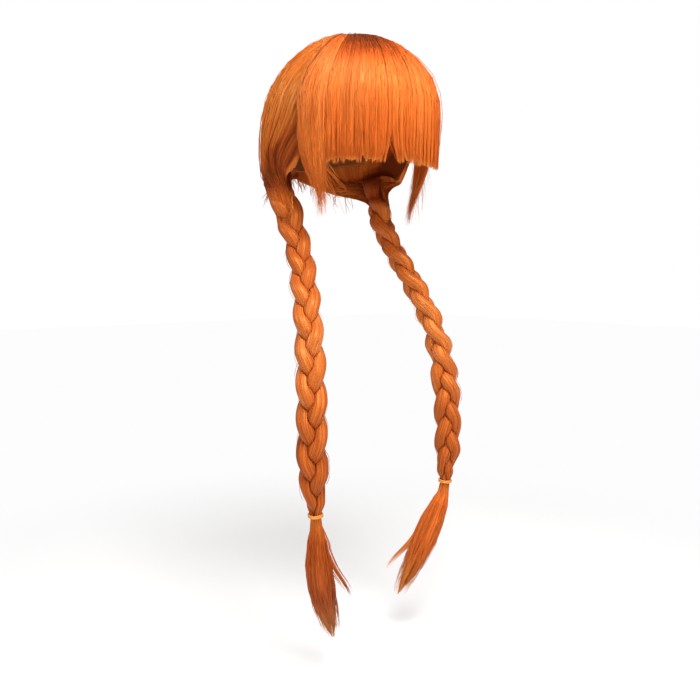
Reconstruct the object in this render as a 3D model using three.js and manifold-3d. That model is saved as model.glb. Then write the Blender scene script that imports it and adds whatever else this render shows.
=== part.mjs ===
// A long orange wig: a net cap, a blunt fringe, two face-framing side locks, hair swept back on
// either side of a centre part, and two three-strand plaits that end in a tie and a loose tail.
// Millimetres, +Z up. The wearer faces -Y, so the wearer's right is -X. The origin is inside the
// cap, at the crown, where the wig sits on a head.
import * as THREE from "three";
import { mergeVertices } from "three/addons/utils/BufferGeometryUtils.js";
import Module from "manifold-3d";

const wasm = await Module();
wasm.setup();

const DEG = Math.PI / 180;
const RIGHT = -1;
const LEFT = 1;

// Driving sizes

// The head form that the cap is knitted to: half the ellipsoid of an adult head.
const HEAD = { halfWidth: 75, halfDepth: 95, crownHeight: 79 };
// One unit of drop below the widest level, and the drop where the hair starts at the whorl.
const SKIRT = 100;
const WHORL_DROP = 0.02;

const CAP = { wall: 1.5, columns: 24, rows: 6 };
// The cap's edge: over the forehead, down to the ear tab, up round the ear and down to the nape.
const CAP_EDGE = [
  { azimuth: 0, level: -54 },
  { azimuth: 45, level: -66 },
  { azimuth: 78, level: -100 },
  { azimuth: 100, level: -92 },
  { azimuth: 128, level: -114 },
  { azimuth: 180, level: -124 },
];

// How far the hair stands off the head form, inside and out, from the whorl to the ends.
const HAIR_STANDOFF = [
  { drop: 0, inner: 3.4, outer: 13.5 },
  { drop: 0.5, inner: 3.4, outer: 15.5 },
  { drop: 1, inner: 3.4, outer: 17 },
  { drop: 1.25, inner: 6, outer: 16.5 },
  { drop: 1.5, inner: 9.5, outer: 16 },
  { drop: 2.1, inner: 11, outer: 15.5 },
];
const PIECE_GAP = 0.6;
const ROOT_GAP = 0.4;
const SLIVER = 0.1;

// Lines that split the crown hair into fringe, side lock and swept hair, in degrees from the face.
const SECTION_LINES = [
  { drop: 0, fringe: 46, temple: 58 },
  { drop: 1, fringe: 61, temple: 79 },
];

// The fringe is cut at one level; ragged is how far its locks differ, and notch how far it is
// nicked between two of them.
const FRINGE = { locks: 12, columnsPerLock: 2, rows: 7, level: -137, groove: 1.6, ragged: 2.2, notch: 3.5 };
const SIDE_LOCK = { columns: 4, rows: 12, startLevel: -110, tipLevel: -188, groove: 1.2, curl: 9 };
// Where a side lock's tip hangs, as a share from its front edge to its back edge. The left one leans back.
const SIDE_LOCK_TIP = { [RIGHT]: 0.3, [LEFT]: 1.15 };

// The swept hair bulges most towards its low end, and turns in to the gather over the last of its way.
// Behind the side lock it is drawn in by up to hollow, but no closer to the head form than closest.
// Beside the centre part it springs up from the cap by as much as spring.
const SWEPT = { columns: 14, rows: 13, locks: 7, groove: 1.5, bulge: 4.5, bulgeLow: 1.8, turnsFrom: 0.78 };
const SWEPT_LIFT = { hollow: 8, closest: 3.4, spring: 3 };
// Flow lines of the swept hair, from the temple round to the whorl and then down the centre part to the
// nape. Each passes these azimuths and drops, at even shares of its way to the gather.
const FLOW_LINES = [
  [[58, 0.02], [66, 0.5], [79, 1], [79, 1.38], [97, 1.68]],
  [[62, 0.02], [77, 0.5], [91, 1], [102, 1.42], [105, 1.76]],
  [[80, 0.02], [99, 0.5], [114, 1], [121, 1.48], [111, 1.84]],
  [[126, 0.02], [134, 0.48], [140, 0.98], [137, 1.5], [116, 1.86]],
  [[180, 0.16], [170, 0.5], [157, 0.98], [144, 1.49], [119, 1.86]],
  [[180, 0.86], [173, 0.98], [162, 1.18], [147, 1.53], [121, 1.85]],
  [[180, 1.52], [173, 1.55], [161, 1.61], [145, 1.7], [124, 1.82]],
];
const GATHER = { wide: 15.5, deep: 14.5 };

// The plait's centre line on one side, as a distance out from the mid-plane, and then its tail.
const PLAIT_LINE = [
  { out: 73, y: 34, z: -157 },
  { out: 71, y: 20, z: -192 },
  { out: 75, y: -2, z: -229 },
  { out: 85, y: -25, z: -269 },
  { out: 96, y: -47, z: -319 },
  { out: 103.5, y: -60, z: -384 },
  { out: 106, y: -64, z: -449 },
  { out: 102, y: -64, z: -509 },
];
const TAIL_LINE = {
  [RIGHT]: [
    { out: 100, y: -64, z: -550 },
    { out: 87, y: -56, z: -605 },
    { out: 60, y: -42, z: -670 },
  ],
  [LEFT]: [
    { out: 91, y: -61, z: -545 },
    { out: 71, y: -50, z: -597 },
    { out: 52, y: -34, z: -652 },
  ],
};
// A lobe shows every lobePitch on each edge. A strand swings and weaves round the plait's middle, and
// strandWide and strandDeep are its half widths where it isn't pressed.
const PLAIT = { lobePitch: 37, swing: 6.9, weave: 5, strandWide: 10, strandDeep: 9 };
const STRAND = { sides: 8, step: 5.6, gap: 0.6 };
// The plait's girth along its length, drawn in where the tie grips it.
const PLAIT_GIRTH = [
  { along: 0, girth: 1.02 },
  { along: 0.2, girth: 0.9 },
  { along: 0.4, girth: 0.94 },
  { along: 0.7, girth: 1 },
  { along: 0.88, girth: 0.98 },
  { along: 0.96, girth: 0.66 },
  { along: 1, girth: 0.39 },
];
// The way the plait's broad face is turned, in degrees round the vertical, for each side.
const PLAIT_ROLL = {
  [RIGHT]: [
    { along: 0, roll: -40 },
    { along: 1, roll: -40 },
  ],
  [LEFT]: [
    { along: 0, roll: 40 },
    { along: 0.45, roll: 60 },
    { along: 0.75, roll: 140 },
    { along: 1, roll: 140 },
  ],
};

const TIE = { bore: 7.35, thread: 1.3, turns: 2, sides: 14, threadSides: 4 };
// The tail's head is gripped by the tie. Its locks start inside the head, at a share of the tail.
const TAIL = { rows: 5, sides: 5, headLength: 12, headGirth: 5.6, fullAt: 0.52 };
const TAIL_LOCK_ROOT = { along: 0.015, out: 2.4, girth: 2.6 };
// Locks of the loose tail: where each lies round the tail, how far it stands out from the middle at
// its fullest and at its tip, the share of the tail's length where it ends, and its half width.
const TAIL_LOCKS = [
  { turn: 0, out: 11, tip: 8, ends: 0.88, girth: 6.6 },
  { turn: 66, out: 7.5, tip: 4, ends: 1, girth: 7 },
  { turn: 128, out: 7.5, tip: 2, ends: 0.95, girth: 6.6 },
  { turn: 186, out: 9.5, tip: 5, ends: 0.9, girth: 6.2 },
  { turn: 244, out: 7, tip: 2, ends: 0.98, girth: 7 },
  { turn: 304, out: 9, tip: 7, ends: 0.94, girth: 6.8 },
  { turn: 8, out: 20, tip: 34, ends: 0.66, girth: 4.4 },
];

// Helpers

// The value of one column of a table at x, easing from row to row.
function read(table, key, column, x) {
  const last = table.length - 1;
  if (x <= table[0][key]) return table[0][column];
  if (x >= table[last][key]) return table[last][column];
  const i = table.findIndex((row) => row[key] > x) - 1;
  const [a, b] = [table[i], table[i + 1]];
  return THREE.MathUtils.lerp(a[column], b[column], THREE.MathUtils.smoothstep(x, a[key], b[key]));
}

// A point over the head form. Azimuth is in degrees from the face towards one side, drop is 0 at the
// crown, 1 at the widest level and more below it, and lift is the distance off the form.
function overHead(side, azimuth, drop, lift) {
  const polar = Math.min(drop, 1) * 90 * DEG;
  const spread = Math.sin(polar);
  const dome = (HEAD.crownHeight + lift) * Math.cos(polar);
  const z = -HEAD.crownHeight + (drop < 1 ? dome : -(drop - 1) * SKIRT);
  return new THREE.Vector3(
    side * (HEAD.halfWidth + lift) * spread * Math.sin(azimuth * DEG),
    -(HEAD.halfDepth + lift) * spread * Math.cos(azimuth * DEG),
    z,
  );
}

// The drop of a level in millimetres, measured on the bare form.
function dropAt(level) {
  const below = -HEAD.crownHeight - level;
  if (below >= 0) return 1 + below / SKIRT;
  return Math.acos(-below / HEAD.crownHeight) / (90 * DEG);
}

const standoff = (face, drop) => read(HAIR_STANDOFF, "drop", face, drop);

// Azimuth drawn in by the gap between two pieces, which is wider in degrees near the whorl.
function inset(azimuth, drop, gap) {
  const radius = HEAD.halfWidth * Math.max(Math.sin(Math.min(drop, 1) * 90 * DEG), 0.05);
  return azimuth + gap / radius / DEG;
}

// Height of a rounded lock across its width, 0 at the grooves beside it.
const lockCrown = (place, locks) => Math.abs(Math.sin(Math.PI * locks * place)) ** 0.6;

// A mesh with its shared points merged and its empty triangles dropped, facing outwards.
function closed(points, triangles) {
  const loose = new THREE.BufferGeometry().setFromPoints(points);
  loose.setIndex(triangles.flat());
  const merged = mergeVertices(loose, 1e-3);
  const index = merged.index.array;
  const at = (i) => new THREE.Vector3().fromBufferAttribute(merged.attributes.position, i);
  const kept = [];
  let volume = 0;
  for (let t = 0; t < index.length; t += 3) {
    const [a, b, c] = index.slice(t, t + 3);
    if (a === b || b === c || a === c) continue;
    volume += at(a).dot(at(b).cross(at(c)));
    kept.push([a, b, c]);
  }
  merged.setIndex(kept.flatMap(([a, b, c]) => (volume < 0 ? [a, c, b] : [a, b, c])));
  return merged;
}

// A closed sheet between an outer and an inner grid of points with the same rows and columns.
function thickSheet(outer, inner, wraps = false) {
  const rows = outer.length;
  const columns = outer[0].length;
  const points = [...outer.flat(), ...inner.flat()];
  const out = (r, c) => r * columns + (c % columns);
  const into = (r, c) => rows * columns + out(r, c);
  const triangles = [];
  const quad = (a, b, c, d) => triangles.push([a, b, c], [a, c, d]);
  const spans = wraps ? columns : columns - 1;
  for (let r = 0; r + 1 < rows; r++)
    for (let c = 0; c < spans; c++) {
      quad(out(r, c), out(r, c + 1), out(r + 1, c + 1), out(r + 1, c));
      quad(into(r, c), into(r + 1, c), into(r + 1, c + 1), into(r, c + 1));
    }
  for (let c = 0; c < spans; c++) {
    if (!wraps) quad(out(0, c), into(0, c), into(0, c + 1), out(0, c + 1));
    quad(out(rows - 1, c), out(rows - 1, c + 1), into(rows - 1, c + 1), into(rows - 1, c));
  }
  for (let r = 0; r + 1 < rows && !wraps; r++) {
    quad(out(r, 0), out(r + 1, 0), into(r + 1, 0), into(r, 0));
    quad(out(r, columns - 1), into(r, columns - 1), into(r + 1, columns - 1), out(r + 1, columns - 1));
  }
  return closed(points, triangles);
}

// A closed tube through rings of points, with a fan over each end.
function tube(rings) {
  const sides = rings[0].length;
  const points = rings.flat();
  const triangles = [];
  for (let r = 0; r + 1 < rings.length; r++)
    for (let i = 0; i < sides; i++) {
      const [a, b] = [r * sides + i, r * sides + ((i + 1) % sides)];
      triangles.push([a, b, b + sides], [a, b + sides, a + sides]);
    }
  for (const end of [0, rings.length - 1]) {
    const centre = new THREE.Vector3();
    rings[end].forEach((p) => centre.addScaledVector(p, 1 / sides));
    const hub = points.push(centre) - 1;
    for (let i = 0; i < sides; i++) {
      const [a, b] = [end * sides + i, end * sides + ((i + 1) % sides)];
      triangles.push(end ? [a, b, hub] : [b, a, hub]);
    }
  }
  return closed(points, triangles);
}

function solidOf(geometry) {
  return new wasm.Manifold(
    new wasm.Mesh({
      numProp: 3,
      vertProperties: new Float32Array(geometry.attributes.position.array),
      triVerts: new Uint32Array(geometry.index.array),
    }),
  );
}

// Solids joined into one, without the slivers that a join leaves.
function fused(geometries) {
  const joined = geometries.map(solidOf).reduce((a, b) => a.add(b));
  const mesh = joined.simplify(SLIVER).getMesh();
  const geometry = new THREE.BufferGeometry();
  geometry.setAttribute("position", new THREE.BufferAttribute(mesh.vertProperties, 3));
  geometry.setIndex(new THREE.BufferAttribute(mesh.triVerts, 1));
  return geometry;
}

// Rows of points, from the shares down and across.
const grid = (rows, columns, point) =>
  Array.from({ length: rows + 1 }, (_, r) =>
    Array.from({ length: columns + 1 }, (_, c) => point(r / rows, c / columns)),
  );

// Pieces

// The net cap: a dome open below, from the crown to its edge.
function makeCap() {
  const layer = (lift) =>
    Array.from({ length: CAP.rows + 1 }, (_, r) =>
      Array.from({ length: CAP.columns }, (_, c) => {
        const azimuth = (c / CAP.columns) * 360 - 180;
        const edge = dropAt(read(CAP_EDGE, "azimuth", "level", Math.abs(azimuth)));
        return overHead(LEFT, azimuth, (edge * r) / CAP.rows, lift);
      }),
    );
  return thickSheet(layer(CAP.wall), layer(0), true);
}

// The fringe: a fan of locks from the whorl to a level, slightly ragged cut at the brow.
function makeFringe() {
  const columns = FRINGE.locks * FRINGE.columnsPerLock;
  const layer = (face) =>
    grid(FRINGE.rows, columns, (v, u) => {
      const lock = Math.min(Math.floor(u * FRINGE.locks), FRINGE.locks - 1);
      const crown = lockCrown(u, FRINGE.locks);
      const end = dropAt(FRINGE.level + FRINGE.ragged * Math.sin(2.7 * lock) + FRINGE.notch * (1 - crown));
      const drop = THREE.MathUtils.lerp(WHORL_DROP, end, v);
      const edge = inset(read(SECTION_LINES, "drop", "fringe", drop), drop, -PIECE_GAP);
      const grooved = face === "outer" ? FRINGE.groove * (crown - 1) * Math.min(1, 2 * v) : 0;
      return overHead(LEFT, edge * (2 * u - 1), drop, standoff(face, drop) + grooved);
    });
  return thickSheet(layer("outer"), layer("inner"));
}

// A side lock: a strip beside the fringe that hangs past the jaw and narrows to a tip by the face.
function makeSideLock(side) {
  const last = dropAt(SIDE_LOCK.tipLevel);
  const taperFrom = dropAt(SIDE_LOCK.startLevel);
  const layer = (face) =>
    grid(SIDE_LOCK.rows, SIDE_LOCK.columns, (v, u) => {
      const drop = THREE.MathUtils.lerp(WHORL_DROP, last, v);
      const narrowed = 1 - 0.9 * THREE.MathUtils.smoothstep(drop, taperFrom, last);
      const from = inset(read(SECTION_LINES, "drop", "fringe", drop), drop, PIECE_GAP);
      const to = inset(read(SECTION_LINES, "drop", "temple", drop), drop, -PIECE_GAP);
      const middle = from + SIDE_LOCK_TIP[side] * (to - from);
      const edge = THREE.MathUtils.lerp(from, to, u);
      const azimuth = middle + (edge - middle) * narrowed;
      const crown = Math.sin(Math.PI * u) ** 0.6 - 1;
      const tucked = SIDE_LOCK.curl * THREE.MathUtils.smoothstep(drop, taperFrom, last);
      const thick = standoff("outer", drop) - standoff("inner", drop);
      const lift = face === "outer" ? SIDE_LOCK.groove * crown : thick * (1 - narrowed) * 0.7;
      return overHead(side, azimuth, drop, standoff(face, drop) + lift - tucked);
    });
  return thickSheet(layer("outer"), layer("inner"));
}

// Points of a plait's centre line, as a smooth curve for one side.
const lineOf = (table, side) =>
  new THREE.CatmullRomCurve3(table.map((p) => new THREE.Vector3(side * p.out, p.y, p.z)));

// Where a plait is at a share of its length, with its broad and deep directions.
function plaitFrame(side, along) {
  const line = lineOf(PLAIT_LINE, side);
  const at = line.getPointAt(along);
  const tangent = line.getTangentAt(along);
  const roll = read(PLAIT_ROLL[side], "along", "roll", along) * DEG;
  const wide = new THREE.Vector3(Math.cos(roll), Math.sin(roll), 0);
  wide.addScaledVector(tangent, -wide.dot(tangent)).normalize();
  const deep = new THREE.Vector3().crossVectors(wide, tangent).normalize();
  return { at, wide, deep, tangent };
}

// Where the swept hair's flow lines are: u is the place from the temple to the nape, and v the share of
// the way from root to gather. Gives an azimuth and a drop.
const flowCurves = FLOW_LINES.map((line) => new THREE.SplineCurve(line.map((spot) => new THREE.Vector2(...spot))));
function flowAt(u, v) {
  const { x: azimuth, y: drop } = new THREE.SplineCurve(flowCurves.map((curve) => curve.getPoint(v))).getPoint(u);
  const temple = read(SECTION_LINES, "drop", "temple", drop);
  const share = THREE.MathUtils.clamp((azimuth - temple) / (180 - temple), 0, 1);
  const [front, back] = [inset(temple, drop, PIECE_GAP), inset(180, drop, -PIECE_GAP)];
  return { azimuth: THREE.MathUtils.lerp(front, back, share), drop };
}

// Half of the swept hair: from the temple, the whorl and the centre part, round the ear and into a
// round gather where the plait begins.
function makeSweptHair(side) {
  const { smoothstep } = THREE.MathUtils;
  const root = plaitFrame(side, 0);
  const outward = new THREE.Vector3().crossVectors(root.tangent, new THREE.Vector3(0, -side, 0)).normalize();
  const forward = new THREE.Vector3().crossVectors(outward, root.tangent).multiplyScalar(-side);
  const layer = (face) =>
    grid(SWEPT.rows, SWEPT.columns, (v, u) => {
      const { azimuth, drop } = flowAt(u, v);
      const drawnIn = SWEPT_LIFT.hollow * (1 - smoothstep(u, 0.05, 0.3)) * smoothstep(drop, 0.8, 1.25);
      const bulge = SWEPT.bulge * Math.sin(Math.PI * v ** SWEPT.bulgeLow) ** 2 * Math.sin(Math.PI * u);
      const crown = lockCrown(u, SWEPT.locks) - 1;
      const near = standoff(face, drop) - drawnIn;
      const under = Math.max(near, SWEPT_LIFT.closest) + SWEPT_LIFT.spring * smoothstep(u, 0.45, 0.65);
      const lift = face === "outer" ? near + bulge + SWEPT.groove * crown : under;
      const onHead = overHead(side, azimuth, drop, lift);
      const turn = (face === "outer" ? 1 : -1) * Math.PI * (0.06 + 0.88 * u);
      const bundled = root.at
        .clone()
        .addScaledVector(forward, GATHER.deep * Math.cos(turn))
        .addScaledVector(outward, GATHER.wide * Math.sin(turn));
      return onHead.lerp(bundled, smoothstep(v, SWEPT.turnsFrom, 1));
    });
  return thickSheet(layer("outer"), layer("inner"));
}

// Centre of one of the plait's three strands in its cross-section: it swings from side to side once
// while it weaves from front to back twice.
function strandCentre(strand, turns, girth) {
  const angle = 2 * Math.PI * (turns + strand / 3);
  const spot = new THREE.Vector2(PLAIT.swing * Math.sin(angle), PLAIT.weave * Math.sin(2 * angle));
  return spot.multiplyScalar(girth);
}

// One strand of a plait. In each cross-section it is an ellipse pressed flat against the other two.
function makeStrand(side, strand) {
  const length = lineOf(PLAIT_LINE, side).getLength();
  const steps = Math.round(length / STRAND.step);
  const rings = Array.from({ length: steps + 1 }, (_, k) => {
    const start = ROOT_GAP / length;
    const along = THREE.MathUtils.lerp(start, 1, k / steps);
    const { at, wide, deep } = plaitFrame(side, along);
    const girth = read(PLAIT_GIRTH, "along", "girth", along);
    const turns = (along * length) / (3 * PLAIT.lobePitch);
    const own = strandCentre(strand, turns, girth);
    const halfStep = (0.5 * STRAND.step) / (3 * PLAIT.lobePitch);
    const spacings = [-halfStep, 0, halfStep].flatMap((shift) =>
      [1, 2].map((n) =>
        strandCentre((strand + n) % 3, turns + shift, girth).sub(strandCentre(strand, turns + shift, girth)),
      ),
    );
    return Array.from({ length: STRAND.sides }, (_, i) => {
      const angle = (2 * Math.PI * i) / STRAND.sides;
      const way = new THREE.Vector2(Math.cos(angle), Math.sin(angle));
      let reach = girth / Math.hypot(way.x / PLAIT.strandWide, way.y / PLAIT.strandDeep);
      for (const apart of spacings) {
        const towards = way.dot(apart) / apart.length();
        if (towards > 0) reach = Math.min(reach, (apart.length() - STRAND.gap) / 2 / towards);
      }
      const spot = own.clone().addScaledVector(way, reach);
      return at.clone().addScaledVector(wide, spot.x).addScaledVector(deep, spot.y);
    });
  });
  return tube(rings);
}

// The elastic tie: a ring of thread turns laid side by side, round the end of the plait.
function makeTie() {
  const pitch = 1.7 * TIE.thread;
  const profile = new THREE.Path();
  const half = (TIE.turns * pitch) / 2;
  profile.moveTo(TIE.bore, -half);
  for (let turn = 0; turn < TIE.turns; turn++)
    profile.quadraticCurveTo(
      TIE.bore + 3.4 * TIE.thread,
      -half + (turn + 0.5) * pitch,
      TIE.bore + 0.6 * TIE.thread,
      -half + (turn + 1) * pitch,
    );
  profile.lineTo(TIE.bore, half);
  profile.closePath();
  const points = profile.getSpacedPoints(TIE.threadSides * TIE.turns);
  const ring = new THREE.LatheGeometry(points, TIE.sides).rotateX(90 * DEG);
  ring.deleteAttribute("normal");
  ring.deleteAttribute("uv");
  const merged = mergeVertices(ring, 1e-3);
  const at = merged.attributes.position;
  const spots = Array.from({ length: at.count }, (_, i) => new THREE.Vector3().fromBufferAttribute(at, i));
  const index = Array.from(merged.index.array);
  return closed(spots, index);
}

// A ring of points round a middle.
const ringRound = (middle, wide, deep, girth, sides) =>
  Array.from({ length: sides }, (_, i) => {
    const angle = (2 * Math.PI * i) / sides;
    return middle
      .clone()
      .addScaledVector(wide, girth * Math.cos(angle))
      .addScaledVector(deep, girth * Math.sin(angle));
  });

// One lock of a tail: it leaves the tie close to the middle, swells, and narrows to its tip.
function tailLock(line, side, lock) {
  const rings = Array.from({ length: TAIL.rows + 1 }, (_, k) => {
    const share = k / TAIL.rows;
    const along = THREE.MathUtils.lerp(TAIL_LOCK_ROOT.along, lock.ends, share);
    const tangent = line.getTangentAt(along);
    const wide = new THREE.Vector3(-side, 0, 0);
    wide.addScaledVector(tangent, -wide.dot(tangent)).normalize();
    const deep = new THREE.Vector3().crossVectors(wide, tangent);
    const stand = [
      { share: 0, out: TAIL_LOCK_ROOT.out, girth: TAIL_LOCK_ROOT.girth },
      { share: TAIL.fullAt, out: lock.out, girth: lock.girth },
      { share: 1, out: lock.tip, girth: 0.12 * lock.girth },
    ];
    const out = read(stand, "share", "out", share);
    const girth = read(stand, "share", "girth", share);
    const middle = line
      .getPointAt(along)
      .addScaledVector(wide, out * Math.cos(lock.turn * DEG))
      .addScaledVector(deep, out * Math.sin(lock.turn * DEG));
    return ringRound(middle, wide, deep, girth, TAIL.sides);
  });
  return tube(rings);
}

// The loose tail below the tie: locks fused where the tie holds them.
function makeTail(side) {
  const { at, wide, deep, tangent } = plaitFrame(side, 1);
  const below = (distance) => at.clone().addScaledVector(tangent, distance);
  const start = [below(ROOT_GAP), below(9)];
  const rest = TAIL_LINE[side].map((p) => new THREE.Vector3(side * p.out, p.y, p.z));
  const line = new THREE.CatmullRomCurve3([...start, ...rest]);
  const head = [
    { down: ROOT_GAP, girth: TAIL.headGirth },
    { down: TAIL.headLength / 2, girth: 1.15 * TAIL.headGirth },
    { down: TAIL.headLength, girth: TAIL.headGirth },
  ].map(({ down, girth }) => ringRound(below(down), wide, deep, girth, 2 * TAIL.sides));
  return fused([tube(head), ...TAIL_LOCKS.map((lock) => tailLock(line, side, lock))]);
}

// Assembly

const hair = new THREE.MeshStandardMaterial({ color: "#e0702c", roughness: 0.45, metalness: 0 });
const hairShade = new THREE.MeshStandardMaterial({ color: "#cf6226", roughness: 0.45, metalness: 0 });
const net = new THREE.MeshStandardMaterial({ color: "#8a4a22", roughness: 0.9, metalness: 0 });
const elastic = new THREE.MeshStandardMaterial({ color: "#dd8a30", roughness: 0.6, metalness: 0 });

const wig = new THREE.Group();
wig.name = "wig";

function add(name, geometry, material) {
  const mesh = new THREE.Mesh(geometry, material);
  mesh.name = name;
  wig.add(mesh);
  return mesh;
}

add("wig_cap", makeCap(), net);
add("fringe", makeFringe(), hair);
for (const [word, side] of [["right", RIGHT], ["left", LEFT]]) {
  add(`side_lock_${word}`, makeSideLock(side), hair);
  add(`swept_hair_${word}`, makeSweptHair(side), hairShade);
  for (let strand = 0; strand < 3; strand++)
    add(`plait_${word}_strand_${strand + 1}`, makeStrand(side, strand), strand === 1 ? hairShade : hair);
  const end = plaitFrame(side, 1);
  const tie = add(`tie_${word}`, makeTie(), elastic);
  tie.position.copy(end.at);
  tie.quaternion.setFromUnitVectors(new THREE.Vector3(0, 0, -1), end.tangent);
  add(`tail_${word}`, makeTail(side), hairShade);
}

export default wig;
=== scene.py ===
# %% [markdown]
# A long orange wig with two plaits
#
# The real thing is a knitted net cap with thousands of synthetic fibres sewn to it in rows. The hair
# falls as a blunt fringe and two thin locks beside the face, and the rest is swept back on either
# side of a centre part into two three-strand plaits. Each plait ends in an elastic tie and a loose
# tail. This lesson makes every lock twice over: a closed under-layer that gives the hair its body,
# and a comb of thin separate fibres laid over it that gives the eye the lines, the sheen and the
# ragged ends.

import bmesh
import bpy
import numpy as np
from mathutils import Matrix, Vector


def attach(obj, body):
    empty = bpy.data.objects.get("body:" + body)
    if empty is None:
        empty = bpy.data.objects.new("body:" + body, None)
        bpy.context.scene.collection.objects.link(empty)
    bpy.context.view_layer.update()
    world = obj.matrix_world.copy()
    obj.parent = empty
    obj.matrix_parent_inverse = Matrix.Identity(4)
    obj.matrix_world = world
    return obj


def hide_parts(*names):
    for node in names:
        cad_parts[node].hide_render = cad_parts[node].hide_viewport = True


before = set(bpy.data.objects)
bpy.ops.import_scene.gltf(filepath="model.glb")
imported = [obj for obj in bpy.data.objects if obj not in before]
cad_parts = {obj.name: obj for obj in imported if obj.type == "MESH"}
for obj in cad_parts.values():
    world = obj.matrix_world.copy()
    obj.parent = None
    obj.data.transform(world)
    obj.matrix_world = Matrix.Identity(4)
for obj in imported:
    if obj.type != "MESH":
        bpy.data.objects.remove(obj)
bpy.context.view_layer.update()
# The hair is worked out in millimetres and degrees, and its meshes are in metres.
MM = 0.001
RIGHT, LEFT = -1, 1
WORDS = {RIGHT: "right", LEFT: "left"}
SEED = 41
rng = np.random.default_rng(SEED)

# %% [markdown]
# Camera and studio
#
# The photograph was taken from close by, a little below the crown, so the top is seen from under its
# own curve. A camera can be aimed by eye, but here its place, lens and tilt come from a fit of the
# outline. The floor and the world are both near white, so the horizon all but disappears.

# %% Camera
# Its place in metres, how far it looks down and its heading in degrees, its lens and sensor in
# millimetres, and how far the picture is shifted upwards.
CAMERA = {
    "at": (-0.5474, -0.6501, -0.2567),
    "down": 7.1,
    "heading": -40.1,
    "lens": 36.5,
    "sensor": 36.0,
    "shift": 0.0236,
}
camera_data = bpy.data.cameras.new("camera")
camera_data.lens = CAMERA["lens"]
camera_data.sensor_width = CAMERA["sensor"]
camera_data.shift_y = CAMERA["shift"]
camera = bpy.data.objects.new("camera", camera_data)
camera.location = CAMERA["at"]
camera.rotation_euler = np.radians([90.0 - CAMERA["down"], 0.0, CAMERA["heading"]])
bpy.context.collection.objects.link(camera)
bpy.context.scene.camera = camera
print("camera lens", camera_data.lens, "mm")


# %% [markdown]
# One helper for nodes
#
# Shader trees and Geometry Nodes trees are built the same way: a node of some kind, its settings, and
# its inputs, each either a value or a link from another node.


# %% Node helper and colours
def node(tree, kind, inputs=None, **settings):
    made = tree.nodes.new(kind)
    for name, value in settings.items():
        setattr(made, name, value)
    for name, value in (inputs or {}).items():
        if isinstance(value, bpy.types.NodeSocket):
            tree.links.new(value, made.inputs[name])
        else:
            made.inputs[name].default_value = value
    return made


def linear(hex_colour):
    srgb = [int(hex_colour[i : i + 2], 16) / 255 for i in (1, 3, 5)]
    return [c / 12.92 if c <= 0.04045 else ((c + 0.055) / 1.055) ** 2.4 for c in srgb] + [1.0]


def fill_ramp(ramp, stops):
    while len(ramp.elements) < len(stops):
        ramp.elements.new(1.0)
    for element, (place, hex_colour) in zip(ramp.elements, stops):
        element.position = place
        element.color = linear(hex_colour)


def new_material(name):
    material = bpy.data.materials.new(name)
    material.use_nodes = True
    material.node_tree.nodes.clear()
    return material, material.node_tree


WHITE = linear("#ffffff")
print("white is", WHITE)

# %% Floor
# In metres, the floor's level and half its width, and how far from the middle its lit part ends and its
# glowing part begins.
FLOOR = {"level": -0.705, "half": 6.0, "lit_to": 0.72, "glows_from": 1.1}
floor_paint, tree = new_material("matt_white_floor_paint")
place_on = node(tree, "ShaderNodeTexCoord")
mottle = node(
    tree,
    "ShaderNodeTexNoise",
    {"Vector": place_on.outputs["Object"], "Scale": 3.0, "Detail": 2.0},
)
tint = node(tree, "ShaderNodeValToRGB", {"Fac": mottle.outputs["Fac"]})
fill_ramp(tint.color_ramp, [(0.3, "#f4f3f2"), (0.7, "#f7f6f5")])
paint = node(tree, "ShaderNodeBsdfPrincipled", {"Base Color": tint.outputs["Color"], "Roughness": 0.85})
# Away from the wig the floor glows as a lit sweep does, and meets the backdrop without a line.
glow = node(tree, "ShaderNodeEmission", {"Color": WHITE, "Strength": 0.98})
away = node(tree, "ShaderNodeVectorMath", {0: place_on.outputs["Object"]}, operation="LENGTH")
faded = node(
    tree,
    "ShaderNodeMapRange",
    {"Value": away.outputs["Value"], "From Min": FLOOR["lit_to"], "From Max": FLOOR["glows_from"]},
    interpolation_type="SMOOTHSTEP",
)
seen = node(tree, "ShaderNodeLightPath")
shown = node(
    tree,
    "ShaderNodeMath",
    {0: faded.outputs[0], 1: seen.outputs["Is Camera Ray"]},
    operation="MULTIPLY",
)
sweep = node(
    tree,
    "ShaderNodeMixShader",
    {0: shown.outputs[0], 1: paint.outputs["BSDF"], 2: glow.outputs["Emission"]},
)
node(tree, "ShaderNodeOutputMaterial", {"Surface": sweep.outputs[0]})

floor_mesh = bpy.data.meshes.new("floor")
floor_corners = [
    (x * FLOOR["half"], y * FLOOR["half"], FLOOR["level"]) for x, y in ((-1, -1), (1, -1), (1, 1), (-1, 1))
]
floor_mesh.from_pydata(floor_corners, [], [(0, 1, 2, 3)])
floor_mesh.materials.append(floor_paint)
floor = bpy.data.objects.new("floor", floor_mesh)
bpy.context.collection.objects.link(floor)
print("floor at", FLOOR["level"], "m")

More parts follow.
